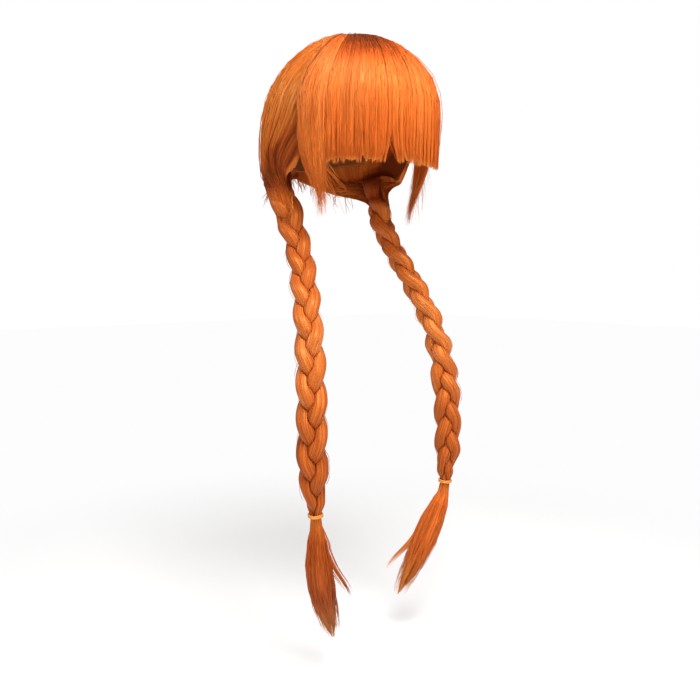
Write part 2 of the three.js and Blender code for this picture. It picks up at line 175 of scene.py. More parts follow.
# %% Light, backdrop and view
# Soft boxes: the key high behind the camera for the satin band, a second on the camera's right, a weak
# fill from its left, and one behind on either side for a pale rim.
SOFT_BOXES = [
    {"name": "key", "at": (-0.3, -0.74, 1.02), "size": 0.8, "watts": 28.0},
    {"name": "right_key", "at": (0.0, -1.45, 0.45), "size": 0.9, "watts": 14.0},
    {"name": "left_fill", "at": (-1.5, -0.9, -0.2), "size": 1.2, "watts": 8.0},
    {"name": "left_rim", "at": (-1.15, 0.9, 0.5), "size": 0.8, "watts": 6.0},
    {"name": "right_rim", "at": (0.95, 1.15, 0.4), "size": 0.8, "watts": 6.0},
]
AIM = np.array([0.0, 0.0, -0.2])
for box in SOFT_BOXES:
    lamp_data = bpy.data.lights.new(box["name"], "AREA")
    lamp_data.energy = box["watts"]
    lamp_data.size = box["size"]
    lamp = bpy.data.objects.new(box["name"], lamp_data)
    lamp.location = box["at"]
    toward = Vector(AIM - np.array(box["at"]))
    lamp.rotation_euler = toward.to_track_quat("-Z", "Y").to_euler()
    bpy.context.collection.objects.link(lamp)

# The backdrop is white to the eye, and gives less light to the hair than it shows.
world = bpy.data.worlds.new("studio")
bpy.context.scene.world = world
world.use_nodes = True
tree = world.node_tree
tree.nodes.clear()
seen = node(tree, "ShaderNodeLightPath")
shown = node(tree, "ShaderNodeBackground", {"Color": WHITE, "Strength": 1.0})
given_off = node(tree, "ShaderNodeBackground", {"Color": WHITE, "Strength": 0.22})
backdrop = node(
    tree,
    "ShaderNodeMixShader",
    {0: seen.outputs["Is Camera Ray"], 1: given_off.outputs[0], 2: shown.outputs[0]},
)
node(tree, "ShaderNodeOutputWorld", {"Surface": backdrop.outputs[0]})
bpy.context.scene.view_settings.view_transform = "Standard"
print(len(SOFT_BOXES), "soft boxes")

# %% [markdown]
# The hair's finish
#
# Wig hair is a heat-resistant polyester or acrylic fibre, extruded and dyed in the melt. It is
# smooth, so it has a broad satin sheen, and no two fibres are quite the same shade. A pattern painted
# over the whole wig would cross from one fibre to the next, so each fibre carries its own shade
# instead: the map named hair_flow has the fibre's shade number across and its length upwards. The
# shader reads the shade number from the one and the root-to-tip change from the other.

# %% Synthetic hair material
SHADES = 64
# The shares of the shade numbers between which a fibre turns from dull to satin, and its roughness there.
SATIN = {"dull_to": 0.12, "satin_from": 0.5, "dull": 0.8, "satin": 0.37}
# How much of its own colour a tip has at its very end.
TIP_FADE = 0.5


def synthetic_hair(name, shade_stops, root, tip, root_reach, tip_from):
    # Gives the eye a satin band across the locks, fine lines of lighter and darker fibres, darker
    # roots, and tips that have faded to a paler yellow-orange. The darkest fibres, which lie in the
    # shade of others, are the dullest.
    material, tree = new_material(name)
    flow = node(tree, "ShaderNodeUVMap", uv_map="hair_flow")
    parts = node(tree, "ShaderNodeSeparateXYZ", {"Vector": flow.outputs["UV"]})
    scaled = node(tree, "ShaderNodeMath", {0: parts.outputs["X"], 1: SHADES}, operation="MULTIPLY")
    number = node(tree, "ShaderNodeMath", {0: scaled.outputs[0]}, operation="FLOOR")
    share = node(tree, "ShaderNodeMath", {0: number.outputs[0], 1: SHADES - 1.0}, operation="DIVIDE")
    shade = node(tree, "ShaderNodeValToRGB", {"Fac": share.outputs[0]})
    fill_ramp(shade.color_ramp, shade_stops)
    rooted = node(
        tree,
        "ShaderNodeMapRange",
        {
            "Value": parts.outputs["Y"],
            "From Min": 0.0,
            "From Max": root_reach,
            "To Min": 1.0,
            "To Max": 0.0,
        },
        interpolation_type="SMOOTHSTEP",
    )
    dark = node(
        tree,
        "ShaderNodeMix",
        {"Factor": rooted.outputs[0], 6: shade.outputs["Color"], 7: linear(root)},
        data_type="RGBA",
    )
    faded = node(
        tree,
        "ShaderNodeMapRange",
        {
            "Value": parts.outputs["Y"],
            "From Min": tip_from,
            "From Max": 1.0,
            "To Min": 0.0,
            "To Max": TIP_FADE,
        },
    )
    colour = node(
        tree,
        "ShaderNodeMix",
        {"Factor": faded.outputs[0], 6: dark.outputs[2], 7: linear(tip)},
        data_type="RGBA",
    )
    dull = node(
        tree,
        "ShaderNodeMapRange",
        {
            "Value": share.outputs[0],
            "From Min": SATIN["dull_to"],
            "From Max": SATIN["satin_from"],
            "To Min": SATIN["dull"],
            "To Max": SATIN["satin"],
        },
    )
    fibre = node(
        tree,
        "ShaderNodeBsdfPrincipled",
        {
            "Base Color": colour.outputs[2],
            "Roughness": dull.outputs[0],
            "IOR": 1.5,
            "Specular IOR Level": 0.8,
            "Specular Tint": linear("#ffbe6a"),
        },
    )
    node(tree, "ShaderNodeOutputMaterial", {"Surface": fibre.outputs["BSDF"]})
    return material


print(SHADES, "shade numbers")

# %% Four finishes of the hair
crown_fibre = synthetic_hair(
    "satin_polyester_wig_fibre",
    [(0.0, "#681c04"), (0.3, "#af430d"), (0.55, "#d36220"), (0.85, "#e07932"), (1.0, "#ea8e47")],
    root="#8a2f06",
    tip="#f0a04a",
    root_reach=0.22,
    tip_from=0.955,
)
# A copy of the fibre with a more golden ramp for the swept hair: a painted sheen of pale reflected light.
swept_fibre_painted_sheen = synthetic_hair(
    "swept_polyester_fibre_painted_sheen",
    [(0.0, "#641a04"), (0.3, "#a4420e"), (0.55, "#cb6926"), (0.85, "#d78239"), (1.0, "#e0984e")],
    root="#8a3208",
    tip="#e8984a",
    root_reach=0.22,
    tip_from=0.955,
)
plait_fibre = synthetic_hair(
    "plaited_polyester_wig_fibre",
    [(0.0, "#7e3010"), (0.3, "#a84c1a"), (0.6, "#bb5d24"), (0.88, "#c87036"), (1.0, "#d6884e")],
    root="#a04414",
    tip="#bc5c20",
    root_reach=0.1,
    tip_from=0.98,
)
tail_fibre = synthetic_hair(
    "loose_polyester_wig_fibre",
    [(0.0, "#6c2408"), (0.3, "#9e3e10"), (0.6, "#b64f1a"), (0.88, "#c96428"), (1.0, "#d88142")],
    root="#c86a2a",
    tip="#e69a44",
    root_reach=0.2,
    tip_from=0.6,
)
print("hair materials", [m.name for m in (crown_fibre, swept_fibre_painted_sheen, plait_fibre, tail_fibre)])

# %% [markdown]
# Meshes from arrays
#
# The under-layers are regular grids, so they are worked out as arrays of points and turned into a
# mesh in one go, which is far quicker than adding faces one at a time. Each quad gets one shade
# number, so the under-layer is streaked like the fibres over it.


# %% Curves between values
def ease(x, low, high):
    share = np.clip((x - low) / (high - low), 0.0, 1.0)
    return share * share * (3.0 - 2.0 * share)


def eased(keys, values, x):
    keys = np.asarray(keys, float)
    values = np.asarray(values, float)
    x = np.clip(x, keys[0], keys[-1])
    i = np.clip(np.searchsorted(keys, x, side="right") - 1, 0, len(keys) - 2)
    return values[i] + (values[i + 1] - values[i]) * ease(x, keys[i], keys[i + 1])


def bell(x, middle, spread):
    # 1 at the middle, falling away over the spread on either side.
    return np.exp(-(((x - middle) / spread) ** 2))


def unit(vectors):
    return vectors / np.linalg.norm(vectors, axis=-1, keepdims=True)


print("half way is", ease(0.5, 0.0, 1.0))

# %% Hair map and closed meshes
# Points of one mesh that are closer than this, in metres, are the same point.
SAME_POINT = 1e-6
# Both maps of the hair hold the same, and the shader reads the first.
HAIR_MAPS = ("hair_flow", "OFBake")
# A corner keeps clear of the next column and of the map's ends: where it starts, and how much it takes up.
MAP_COLUMN = {"from": 0.15, "wide": 0.7}
MAP_LENGTH = {"from": 0.01, "high": 0.98}


def flow_corner(shade, edge, along):
    # The place on the hair map of one corner: a column for each shade number, and the length upwards.
    across = (shade + MAP_COLUMN["from"] + MAP_COLUMN["wide"] * edge) / SHADES
    return np.stack([across, MAP_LENGTH["from"] + MAP_LENGTH["high"] * np.clip(along, 0, 1)], axis=-1)


def mesh_object(name, points, quads, maps):
    mesh = bpy.data.meshes.new(name)
    mesh.from_pydata((points * MM).tolist(), [], quads.tolist())
    for map_name, corners in maps.items():
        layer = mesh.uv_layers.new(name=map_name)
        layer.data.foreach_set("uv", corners.reshape(-1).astype(np.float32))
    mesh.polygons.foreach_set("use_smooth", np.ones(len(quads), bool))
    mesh.validate()
    mesh.update()
    made = bpy.data.objects.new(name, mesh)
    bpy.context.collection.objects.link(made)
    return made


def close_poles(piece):
    # Rings without a size become one point each, and the quads that end there become triangles.
    grid = bmesh.new()
    grid.from_mesh(piece.data)
    bmesh.ops.remove_doubles(grid, verts=grid.verts, dist=SAME_POINT)
    grid.to_mesh(piece.data)
    grid.free()


def outward(points, quads):
    # Quads turned so that the closed mesh has a positive volume.
    a, b, c, d = (points[quads[:, k]] for k in range(4))
    volume = np.sum(a * np.cross(b, c)) + np.sum(a * np.cross(c, d))
    return quads if volume > 0 else quads[:, ::-1]


def streaked_mesh(name, points, quads, ups, tones):
    # A closed mesh of quads, with a shade number for each and the length upwards at each corner.
    facing = outward(points, quads)
    if facing is not quads:
        ups = ups[:, ::-1]
    edge = np.broadcast_to([0.0, 1.0, 1.0, 0.0], ups.shape)
    corners = flow_corner(tones[:, None], edge, ups)
    return mesh_object(name, points, facing, {map_name: corners for map_name in HAIR_MAPS})


print("a corner on the hair map", flow_corner(0, 0.0, 0.0))

# %% Sheets and tubes of hair
# How many shade numbers of painted shade darken the inside of a sheet of hair.
INSIDE_PAINTED_SHADE = 16


def streaked_sheet(name, outer, inner, along, shades):
    # A closed sheet between two grids, with a shade number for each quad, darker inside with painted shade.
    rows, columns, _ = outer.shape
    points = np.concatenate([outer.reshape(-1, 3), inner.reshape(-1, 3)])
    number = np.arange(rows * columns).reshape(rows, columns)
    below = number + rows * columns
    quads = []
    ups = []
    tones = []

    def strip(a, b, c, d, up, tone):
        quads.append(np.stack([a, b, c, d], axis=-1).reshape(-1, 4))
        ups.append(np.stack(up, axis=-1).reshape(-1, 4))
        tones.append(np.broadcast_to(tone, a.shape).reshape(-1))

    top = np.broadcast_to(along[:-1, None], (rows - 1, columns - 1))
    low = np.broadcast_to(along[1:, None], (rows - 1, columns - 1))
    lift = (top, top, low, low)
    darker = np.maximum(shades - INSIDE_PAINTED_SHADE, 0)
    strip(number[:-1, :-1], number[:-1, 1:], number[1:, 1:], number[1:, :-1], lift, shades)
    strip(below[:-1, 1:], below[:-1, :-1], below[1:, :-1], below[1:, 1:], lift, darker)
    for row, turned in ((0, False), (rows - 1, True)):
        a, b = number[row, :-1], number[row, 1:]
        c, d = below[row, 1:], below[row, :-1]
        flat = (np.full(columns - 1, along[row]),) * 4
        strip(*((a, b, c, d) if turned else (b, a, d, c)), flat, shades[min(row, rows - 2)])
    first, last = along[:-1], along[1:]
    for column, turned in ((0, False), (-1, True)):
        a, b = number[:-1, column], number[1:, column]
        c, d = below[1:, column], below[:-1, column]
        if turned:
            strip(b, a, d, c, (last, first, first, last), shades[:, column])
        else:
            strip(a, b, c, d, (first, last, last, first), shades[:, column])
    return streaked_mesh(name, points, *(np.concatenate(each) for each in (quads, ups, tones)))


def streaked_tube(name, rings, along, shades):
    # A closed tube through rings of points, with a shade for each column of quads or for each quad.
    count, sides, _ = rings.shape
    points = rings.reshape(-1, 3)
    number = np.arange(count * sides).reshape(count, sides)
    beside = np.roll(number, -1, axis=1)
    quads = np.stack([number[:-1], beside[:-1], beside[1:], number[1:]], axis=-1).reshape(-1, 4)
    top = np.broadcast_to(along[:-1, None], (count - 1, sides))
    low = np.broadcast_to(along[1:, None], (count - 1, sides))
    ups = np.stack([top, top, low, low], axis=-1).reshape(-1, 4)
    shades = np.broadcast_to(shades, (count - 1, sides))
    tones = shades.reshape(-1)
    rungs = sides // 2 - 1
    for row, turned in ((0, True), (count - 1, False)):
        ring = number[row]
        end = np.array([[ring[k], ring[k + 1], ring[-2 - k], ring[-1 - k]] for k in range(rungs)])
        quads = np.concatenate([quads, end[:, ::-1] if turned else end])
        ups = np.concatenate([ups, np.full((rungs, 4), along[row])])
        tones = np.concatenate([tones, shades[min(row, count - 2), :rungs]])
    return streaked_mesh(name, points, quads, ups, tones)


print("the inside of a sheet is", INSIDE_PAINTED_SHADE, "shade numbers darker")

# %% Combed relief and its painted shades
# How unlike each other the columns of a sheet are, in shade numbers.
COLUMN_TONE = 3.0


def combed_relief(columns, rows, layers):
    # Ridges down a sheet of combed hair. Each layer is a ridge's width in columns, its height in
    # millimetres, and how many times its pattern changes on the way down.
    u = np.arange(columns + 1)
    t = np.linspace(0, 1, rows + 1)
    total = np.zeros((rows + 1, columns + 1))
    for width, height, changes in layers:
        knots = rng.normal(0, 1, (changes + 1, columns // width + 3))
        rows_of = np.stack([np.interp(u / width, np.arange(knots.shape[1]), row) for row in knots])
        step = np.minimum((t * changes).astype(int), changes - 1)
        part = ease(t * changes - step, 0, 1)[:, None]
        total += height * (rows_of[step] * (1 - part) + rows_of[step + 1] * part)
    return total


def middles(grid_values):
    # Values for the quads of a grid, from those at its points.
    return (grid_values[:-1, :-1] + grid_values[:-1, 1:] + grid_values[1:, :-1] + grid_values[1:, 1:]) / 4


def whole_shades(tone):
    return np.clip(np.rint(tone), 0, SHADES - 1)


def tone_and_painted_relief_shade(relief, middle, painted_relief):
    # Shade numbers for a sheet's quads: a tone for each column, and painted light on crests and shade in
    # grooves.
    between = middles(relief)
    return whole_shades(middle + painted_relief * between + rng.normal(0, COLUMN_TONE, (1, between.shape[1])))


print("columns differ by about", COLUMN_TONE, "shade numbers")

# %% [markdown]
# A comb of fibres
#
# A fibre follows a path, and thousands of them repeat, so Geometry Nodes makes them. The script works
# out the paths and stores them as a mesh of edges with three values at each point: half the fibre's
# width, its shade number and its share of the length. The tree turns the edges into curves, gives them
# a three-sided section, writes the hair map, joins the under-layer and sets the material. Particle
# hair could give the paths too, but then the partings and the gather at the plait are hard to steer.


# %% Geometry Nodes tree for fibres
def fibre_tree():
    tree = bpy.data.node_groups.new("comb_of_fibres", "GeometryNodeTree")
    tree.interface.new_socket("Paths", in_out="INPUT", socket_type="NodeSocketGeometry")
    under = tree.interface.new_socket("Under-layer", in_out="INPUT", socket_type="NodeSocketObject")
    sides = tree.interface.new_socket("Sides of a fibre", in_out="INPUT", socket_type="NodeSocketInt")
    finish = tree.interface.new_socket("Finish", in_out="INPUT", socket_type="NodeSocketMaterial")
    tree.interface.new_socket("Hair", in_out="OUTPUT", socket_type="NodeSocketGeometry")
    given = node(tree, "NodeGroupInput")
    width, shade, along, around = (
        node(tree, "GeometryNodeInputNamedAttribute", {"Name": name}, data_type="FLOAT").outputs["Attribute"]
        for name in ("half_width", "shade", "along", "around")
    )
    curves = node(tree, "GeometryNodeMeshToCurve", {"Mesh": given.outputs["Paths"]})
    section = node(
        tree,
        "GeometryNodeCurvePrimitiveCircle",
        {"Resolution": given.outputs["Sides of a fibre"], "Radius": 1.0},
    )
    index = node(tree, "GeometryNodeInputIndex")
    turn = node(
        tree,
        "ShaderNodeMath",
        {0: index.outputs[0], 1: given.outputs["Sides of a fibre"]},
        operation="DIVIDE",
    )
    marked = node(
        tree,
        "GeometryNodeStoreNamedAttribute",
        {"Geometry": section.outputs["Curve"], "Name": "around", "Value": turn.outputs[0]},
        data_type="FLOAT",
        domain="POINT",
    )
    swept = node(
        tree,
        "GeometryNodeCurveToMesh",
        {
            "Curve": curves.outputs["Curve"],
            "Profile Curve": marked.outputs["Geometry"],
            "Scale": width,
            "Fill Caps": True,
        },
    )
    inset = node(
        tree,
        "ShaderNodeMath",
        {0: around, 1: MAP_COLUMN["wide"], 2: MAP_COLUMN["from"]},
        operation="MULTIPLY_ADD",
    )
    column = node(tree, "ShaderNodeMath", {0: shade, 1: inset.outputs[0]}, operation="ADD")
    across = node(tree, "ShaderNodeMath", {0: column.outputs[0], 1: float(SHADES)}, operation="DIVIDE")
    up = node(
        tree,
        "ShaderNodeMath",
        {0: along, 1: MAP_LENGTH["high"], 2: MAP_LENGTH["from"]},
        operation="MULTIPLY_ADD",
    )
    spot = node(tree, "ShaderNodeCombineXYZ", {"X": across.outputs[0], "Y": up.outputs[0]})
    mapped = swept.outputs["Mesh"]
    for map_name in HAIR_MAPS:
        stored = node(
            tree,
            "GeometryNodeStoreNamedAttribute",
            {"Geometry": mapped, "Name": map_name, "Value": spot.outputs["Vector"]},
            data_type="FLOAT2",
            domain="CORNER",
        )
        mapped = stored.outputs["Geometry"]
    body = node(tree, "GeometryNodeObjectInfo", {"Object": given.outputs["Under-layer"]})
    joined = node(tree, "GeometryNodeJoinGeometry")
    tree.links.new(mapped, joined.inputs[0])
    tree.links.new(body.outputs["Geometry"], joined.inputs[0])
    smooth = node(tree, "GeometryNodeSetShadeSmooth", {"Geometry": joined.outputs["Geometry"]})
    real = node(tree, "GeometryNodeRealizeInstances", {"Geometry": smooth.outputs["Geometry"]})
    painted = node(
        tree,
        "GeometryNodeSetMaterial",
        {"Geometry": real.outputs["Geometry"], "Material": given.outputs["Finish"]},
    )
    node(tree, "NodeGroupOutput", {"Hair": painted.outputs["Geometry"]})
    return tree, {"under": under.identifier, "sides": sides.identifier, "finish": finish.identifier}


FIBRES, FIBRE_INPUTS = fibre_tree()
print("fibre tree has", len(FIBRES.nodes), "nodes")

# %% Combing a piece and placing it
FIBRE_SIDES = 3


def comb(name, body, paths, half_width, shade, along, finish):
    # paths is fibres by points by 3 in millimetres; half_width and along have a value for each point,
    # and shade has one for each fibre or for each point.
    count, length, _ = paths.shape
    number = np.arange(count * length).reshape(count, length)
    edges = np.stack([number[:, :-1], number[:, 1:]], axis=-1).reshape(-1, 2)
    mesh = bpy.data.meshes.new(f"{name}_paths")
    mesh.from_pydata((paths.reshape(-1, 3) * MM).tolist(), edges.tolist(), [])
    values = {
        "half_width": half_width * MM,
        "shade": np.broadcast_to(shade.reshape(count, -1), (count, length)),
        "along": along,
    }
    for value_name, value in values.items():
        attribute = mesh.attributes.new(value_name, "FLOAT", "POINT")
        attribute.data.foreach_set("value", np.ascontiguousarray(value, np.float32).reshape(-1))
    holder = bpy.data.objects.new(f"{name}_paths", mesh)
    bpy.context.collection.objects.link(holder)
    modifier = holder.modifiers.new("fibres", "NODES")
    modifier.node_group = FIBRES
    modifier[FIBRE_INPUTS["under"]] = body
    modifier[FIBRE_INPUTS["sides"]] = FIBRE_SIDES
    modifier[FIBRE_INPUTS["finish"]] = finish
    graph = bpy.context.evaluated_depsgraph_get()
    plain = bpy.data.meshes.new_from_object(holder.evaluated_get(graph))
    plain.name = name
    piece = bpy.data.objects.new(name, plain)
    bpy.context.collection.objects.link(piece)
    holder.modifiers.remove(modifier)
    for spare in (holder, body):
        spare_mesh = spare.data
        bpy.data.objects.remove(spare)
        bpy.data.meshes.remove(spare_mesh)
    plain.calc_loop_triangles()
    print(name, count, "fibres,", len(plain.loop_triangles), "triangles")
    return piece


def place(piece, node_name, slot_name):
    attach(piece, "root")
    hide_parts(node_name)


print("a fibre has", FIBRE_SIDES, "sides")

# %% [markdown]
# The form under the hair
#
# All the crown hair lies over one rule: an upper half of an ellipsoid that carries on straight down as
# a skirt. A place on it is an azimuth from the face, a drop from the crown, and a lift off the form.
# The rule and its sizes are the same as the solid model's, so the hair sits where the solids do.

# %% Form under the hair
FORM = {"half_width": 75.0, "half_depth": 95.0, "crown": 79.0, "skirt": 100.0}
BROW_LEVEL = -137.0
WHORL_DROP = 0.02
# The lift of the hair's inner and outer faces, at some drops.
STANDOFF_DROP = [0.0, 0.5, 1.0, 1.25, 1.5, 2.1]
STANDOFF_INNER = [3.4, 3.4, 3.4, 6.0, 9.5, 11.0]
STANDOFF_OUTER = [13.5, 15.5, 17.0, 16.5, 16.0, 15.5]
# The azimuths where the fringe and the side lock end, at the crown and from the widest level down.
SECTION_FRINGE = [46.0, 61.0]
SECTION_TEMPLE = [58.0, 79.0]


def over_form(side, azimuth, drop, lift):
    azimuth, drop, lift = np.broadcast_arrays(np.radians(azimuth), drop, lift)
    polar = np.minimum(drop, 1.0) * np.pi / 2
    dome = (FORM["crown"] + lift) * np.cos(polar)
    skirt = -(drop - 1.0) * FORM["skirt"]
    x = side * (FORM["half_width"] + lift) * np.sin(polar) * np.sin(azimuth)
    y = -(FORM["half_depth"] + lift) * np.sin(polar) * np.cos(azimuth)
    z = -FORM["crown"] + np.where(drop < 1.0, dome, skirt)
    return np.stack([x, y, z], axis=-1)


def drop_at(level):
    below = -FORM["crown"] - np.asarray(level, float)
    on_dome = np.arccos(np.clip(-below / FORM["crown"], -1, 1)) / (np.pi / 2)
    return np.where(below >= 0, 1.0 + below / FORM["skirt"], on_dome)


def standoff(depth, drop):
    # Lift of a layer: depth 0 is against the cap and 1 is the hair's outer face.
    inner = eased(STANDOFF_DROP, STANDOFF_INNER, drop)
    outer = eased(STANDOFF_DROP, STANDOFF_OUTER, drop)
    return inner + depth * (outer - inner)


def fringe_edge(drop):
    return eased([0, 1], SECTION_FRINGE, drop)


def temple_edge(drop):
    return eased([0, 1], SECTION_TEMPLE, drop)


print("brow level drop", float(drop_at(BROW_LEVEL)))

# %% [markdown]
# How fibres gather into wisps
#
# Loose hair never lies as an even sheet: static and finish draw neighbouring fibres together, and the
# wisps part from each other towards their ends. Every comb below shares the same small rules for that.

# %% Wisp helpers
# A wisp's middle wanders by a share of its width, its fibres are drawn to it more or less, and its tone is
# some shade numbers off the next one's.
WISP = {"wander": 0.3, "spread": 0.25, "least": 0.2, "most": 1.2, "tone": 3.0}
# The shares of its length where a fibre is first full and where it starts to thin, and the widths that
# fibres have for one of middle width.
FIBRE = {"full_from": 0.3, "thins_from": 0.75, "widths": (0.75, 1.2)}
# How many waves a fibre's wander has, and how far an arch's top lies from its middle.
WANDER_TURNS = (0.6, 1.7)
ARCH_SKEW = (0.5, 2.2)


def spread_shares(count):
    # Shares across a lock, evenly spread and then shuffled by less than one spacing.
    return (np.arange(count) + rng.random(count)) / count


def either(chosen, range_if, range_else):
    # A value for each fibre, from one range where it is chosen and from another where it isn't.
    return np.where(chosen, rng.uniform(*range_if, len(chosen)), rng.uniform(*range_else, len(chosen)))


def some(count, share, low, high):
    # A value between low and high for a share of the fibres, and 0 for the rest.
    return np.where(rng.random(count) < share, rng.uniform(low, high, count), 0.0)


def wisps(share, count, pull):
    # The wisp each fibre belongs to, and how far it is drawn to the wisp's middle at its end.
    wander = rng.uniform(-WISP["wander"], WISP["wander"], count)
    number = np.clip((share * count).astype(int), 0, count - 1)
    middle = (number + 0.5 + wander[number]) / count
    drawn = rng.normal(1.0, WISP["spread"], len(share))
    return number, (middle - share) * pull * np.clip(drawn, WISP["least"], WISP["most"])


def by_wisp(number, count, size):
    # A random value for each wisp, given to all its fibres.
    return rng.normal(0, size, count)[number]


def fibre_width(count, length, half, root=0.6, tip=0.18):
    # Half widths along each fibre: fine at the root, full over most of it, and fine at the tip.
    v = np.linspace(0, 1, length)[None, :]
    grown = root + (1 - root) * ease(v, 0.0, FIBRE["full_from"])
    shape = grown * (1 - (1 - tip) * ease(v, FIBRE["thins_from"], 1.0))
    return half * rng.uniform(*FIBRE["widths"], (count, 1)) * shape


def wobble(count, length, size):
    # A slow wander along each fibre, as wide as size.
    v = np.linspace(0, 1, length)[None, :]
    phase = rng.uniform(0, 2 * np.pi, (count, 1))
    turns = rng.uniform(*WANDER_TURNS, (count, 1))
    return size * rng.normal(0, 1, (count, 1)) * np.sin(2 * np.pi * turns * v + phase)


def flyaway(count, length, share, stands):
    # How far single fibres stand off the rest in a long arch: most not at all, and a share of them by
    # up to stands.
    v = np.linspace(0, 1, length)[None, :]
    height = some(count, share, 0, stands)
    skew = rng.uniform(*ARCH_SKEW, (count, 1))
    return height[:, None] * np.sin(np.pi * v**skew)


def mixed_shades(number, wisp_count, middle, spread):
    # Shade numbers: a tone for each wisp, and a smaller change for each fibre.
    tone = rng.normal(middle, WISP["tone"], wisp_count)
    return whole_shades(tone[number] + rng.normal(0, spread, len(number)))


print("fibres are", FIBRE["widths"], "times the usual width")

# %% [markdown]
# The fringe
#
# The fringe falls from the whorl to just above the brow and is cut straight across, with a few nicks
# where wisps have parted. Its under-layer is a grid from the whorl to the cut. Most of its fibres run
# the whole way, and the rest start further down and lie lower, as the rows sewn to a cap do.

# %% Cut and fullness of the fringe
# The cut rises at the wearer's left by this much, between these azimuths.
CUT_RISE = {"by": 12.0, "azimuths": (20.0, 70.0)}
# Partings in the cut edge: where, in degrees from the face towards the wearer's right, how far up they
# reach in millimetres, and half their width in degrees. Their push fades over this many half widths.
FRINGE_PARTS = [(20.0, 24.0, 4.0), (10.5, 9.0, 1.4), (1.5, 8.0, 1.3), (38.0, 4.0, 0.8), (-18.0, 7.0, 1.2)]
PART_FADE = 1.6
# At the wearer's left the fringe is fuller over the shoulder of the crown, and drawn in towards the temple
# below it: by how many millimetres, and the drops and azimuths where each comes in.
FRINGE_SWELL = {"by": 2.6, "drop": 0.7, "spread": 0.18, "azimuths": (10.0, 50.0)}
FRINGE_DRAWN = {"by": 4.5, "drops": (1.15, 1.6), "azimuths": (38.0, 60.0)}


def cut_level(azimuth):
    return BROW_LEVEL + CUT_RISE["by"] * ease(azimuth, *CUT_RISE["azimuths"])


def part_aside(azimuth, level):
    # Azimuth moved away from the partings, more towards the cut edge.
    moved = azimuth.copy()
    for spot, reach_up, half in FRINGE_PARTS:
        away = azimuth + spot
        opened = ease(level, BROW_LEVEL + reach_up, BROW_LEVEL)
        moved = moved + np.sign(away) * half * np.exp(-np.abs(away) / (PART_FADE * half)) * opened
    return moved


def fringe_swell(azimuth, drop):
    # Millimetres to add to the lift.
    full = FRINGE_SWELL["by"] * bell(drop, FRINGE_SWELL["drop"], FRINGE_SWELL["spread"])
    full = full * ease(azimuth, *FRINGE_SWELL["azimuths"])
    drawn = FRINGE_DRAWN["by"] * ease(drop, *FRINGE_DRAWN["drops"])
    return full - drawn * ease(azimuth, *FRINGE_DRAWN["azimuths"])


print("cut level at the left edge", float(cut_level(SECTION_FRINGE[1])), "mm")

# %% Painted light and shade of the fringe
# Shade numbers of painted light and shade. Near the whorl, where the rows of hair turn away from the light,
# painted shade takes some off to the wearer's right until the hair has dropped a way. A painted highlight
# adds some as a sheen band over the brow of the crown. Painted shade takes a few off low down on the
# wearer's right, and more along the left edge.
WHORL_PAINTED_SHADE = {"by": 42.0, "azimuth": -31.0, "spread": 36.0, "drops": (0.46, 0.74)}
PAINTED_SHEEN_BAND = {"by": 12.0, "drop": 0.82, "spread": 0.22}
LOW_RIGHT_PAINTED_SHADE = {"by": 2.0, "drops": (0.95, 1.2), "azimuths": (14.0, 26.0)}
LEFT_EDGE_PAINTED_SHADE = {"by": 18.0, "drops": (0.45, 0.8), "azimuths": (8.0, 44.0)}


def painted_whorl_shade(azimuth, drop):
    # Painted shade: shade numbers to take off near the whorl.
    beside = bell(azimuth, WHORL_PAINTED_SHADE["azimuth"], WHORL_PAINTED_SHADE["spread"])
    return WHORL_PAINTED_SHADE["by"] * beside * (1 - ease(drop, *WHORL_PAINTED_SHADE["drops"]))


def painted_sheen_and_shade(azimuth, drop):
    # Painted highlight on the crown's sheen band, and painted shade low on the right and at the left edge.
    smooth = PAINTED_SHEEN_BAND["by"] * bell(drop, PAINTED_SHEEN_BAND["drop"], PAINTED_SHEEN_BAND["spread"])
    low_right = ease(-azimuth, *LOW_RIGHT_PAINTED_SHADE["azimuths"]) * ease(drop, *LOW_RIGHT_PAINTED_SHADE["drops"])
    left_edge = ease(azimuth, *LEFT_EDGE_PAINTED_SHADE["azimuths"]) * ease(drop, *LEFT_EDGE_PAINTED_SHADE["drops"])
    return smooth - LOW_RIGHT_PAINTED_SHADE["by"] * low_right - LEFT_EDGE_PAINTED_SHADE["by"] * left_edge


print("shade numbers off beside the whorl", float(painted_whorl_shade(WHORL_PAINTED_SHADE["azimuth"], WHORL_DROP)))

# %% Fringe under-layer
# The under-layer keeps inside the fringe's edges by inset degrees and ends above the cut by short
# millimetres. Its two faces lie at depths that close by thins from a share of the way down.
FRINGE_UNDER = {
    "columns": 400,
    "rows": 22,
    "inset": 0.3,
    "short": 2.0,
    "outer": 0.9,
    "inner": 0.06,
    "thins": 0.3,
    "thins_from": 0.7,
    "ridged_from": 0.3,
    "middle": 39,
    "painted_relief": 9,
}
FRINGE_RIDGES = [(26, 0.3, 2), (8, 0.2, 3), (2, 0.1, 3), (1, 0.06, 2)]
FRINGE_RAGGED = [(14, 0.7, 1), (3, 0.7, 1)]


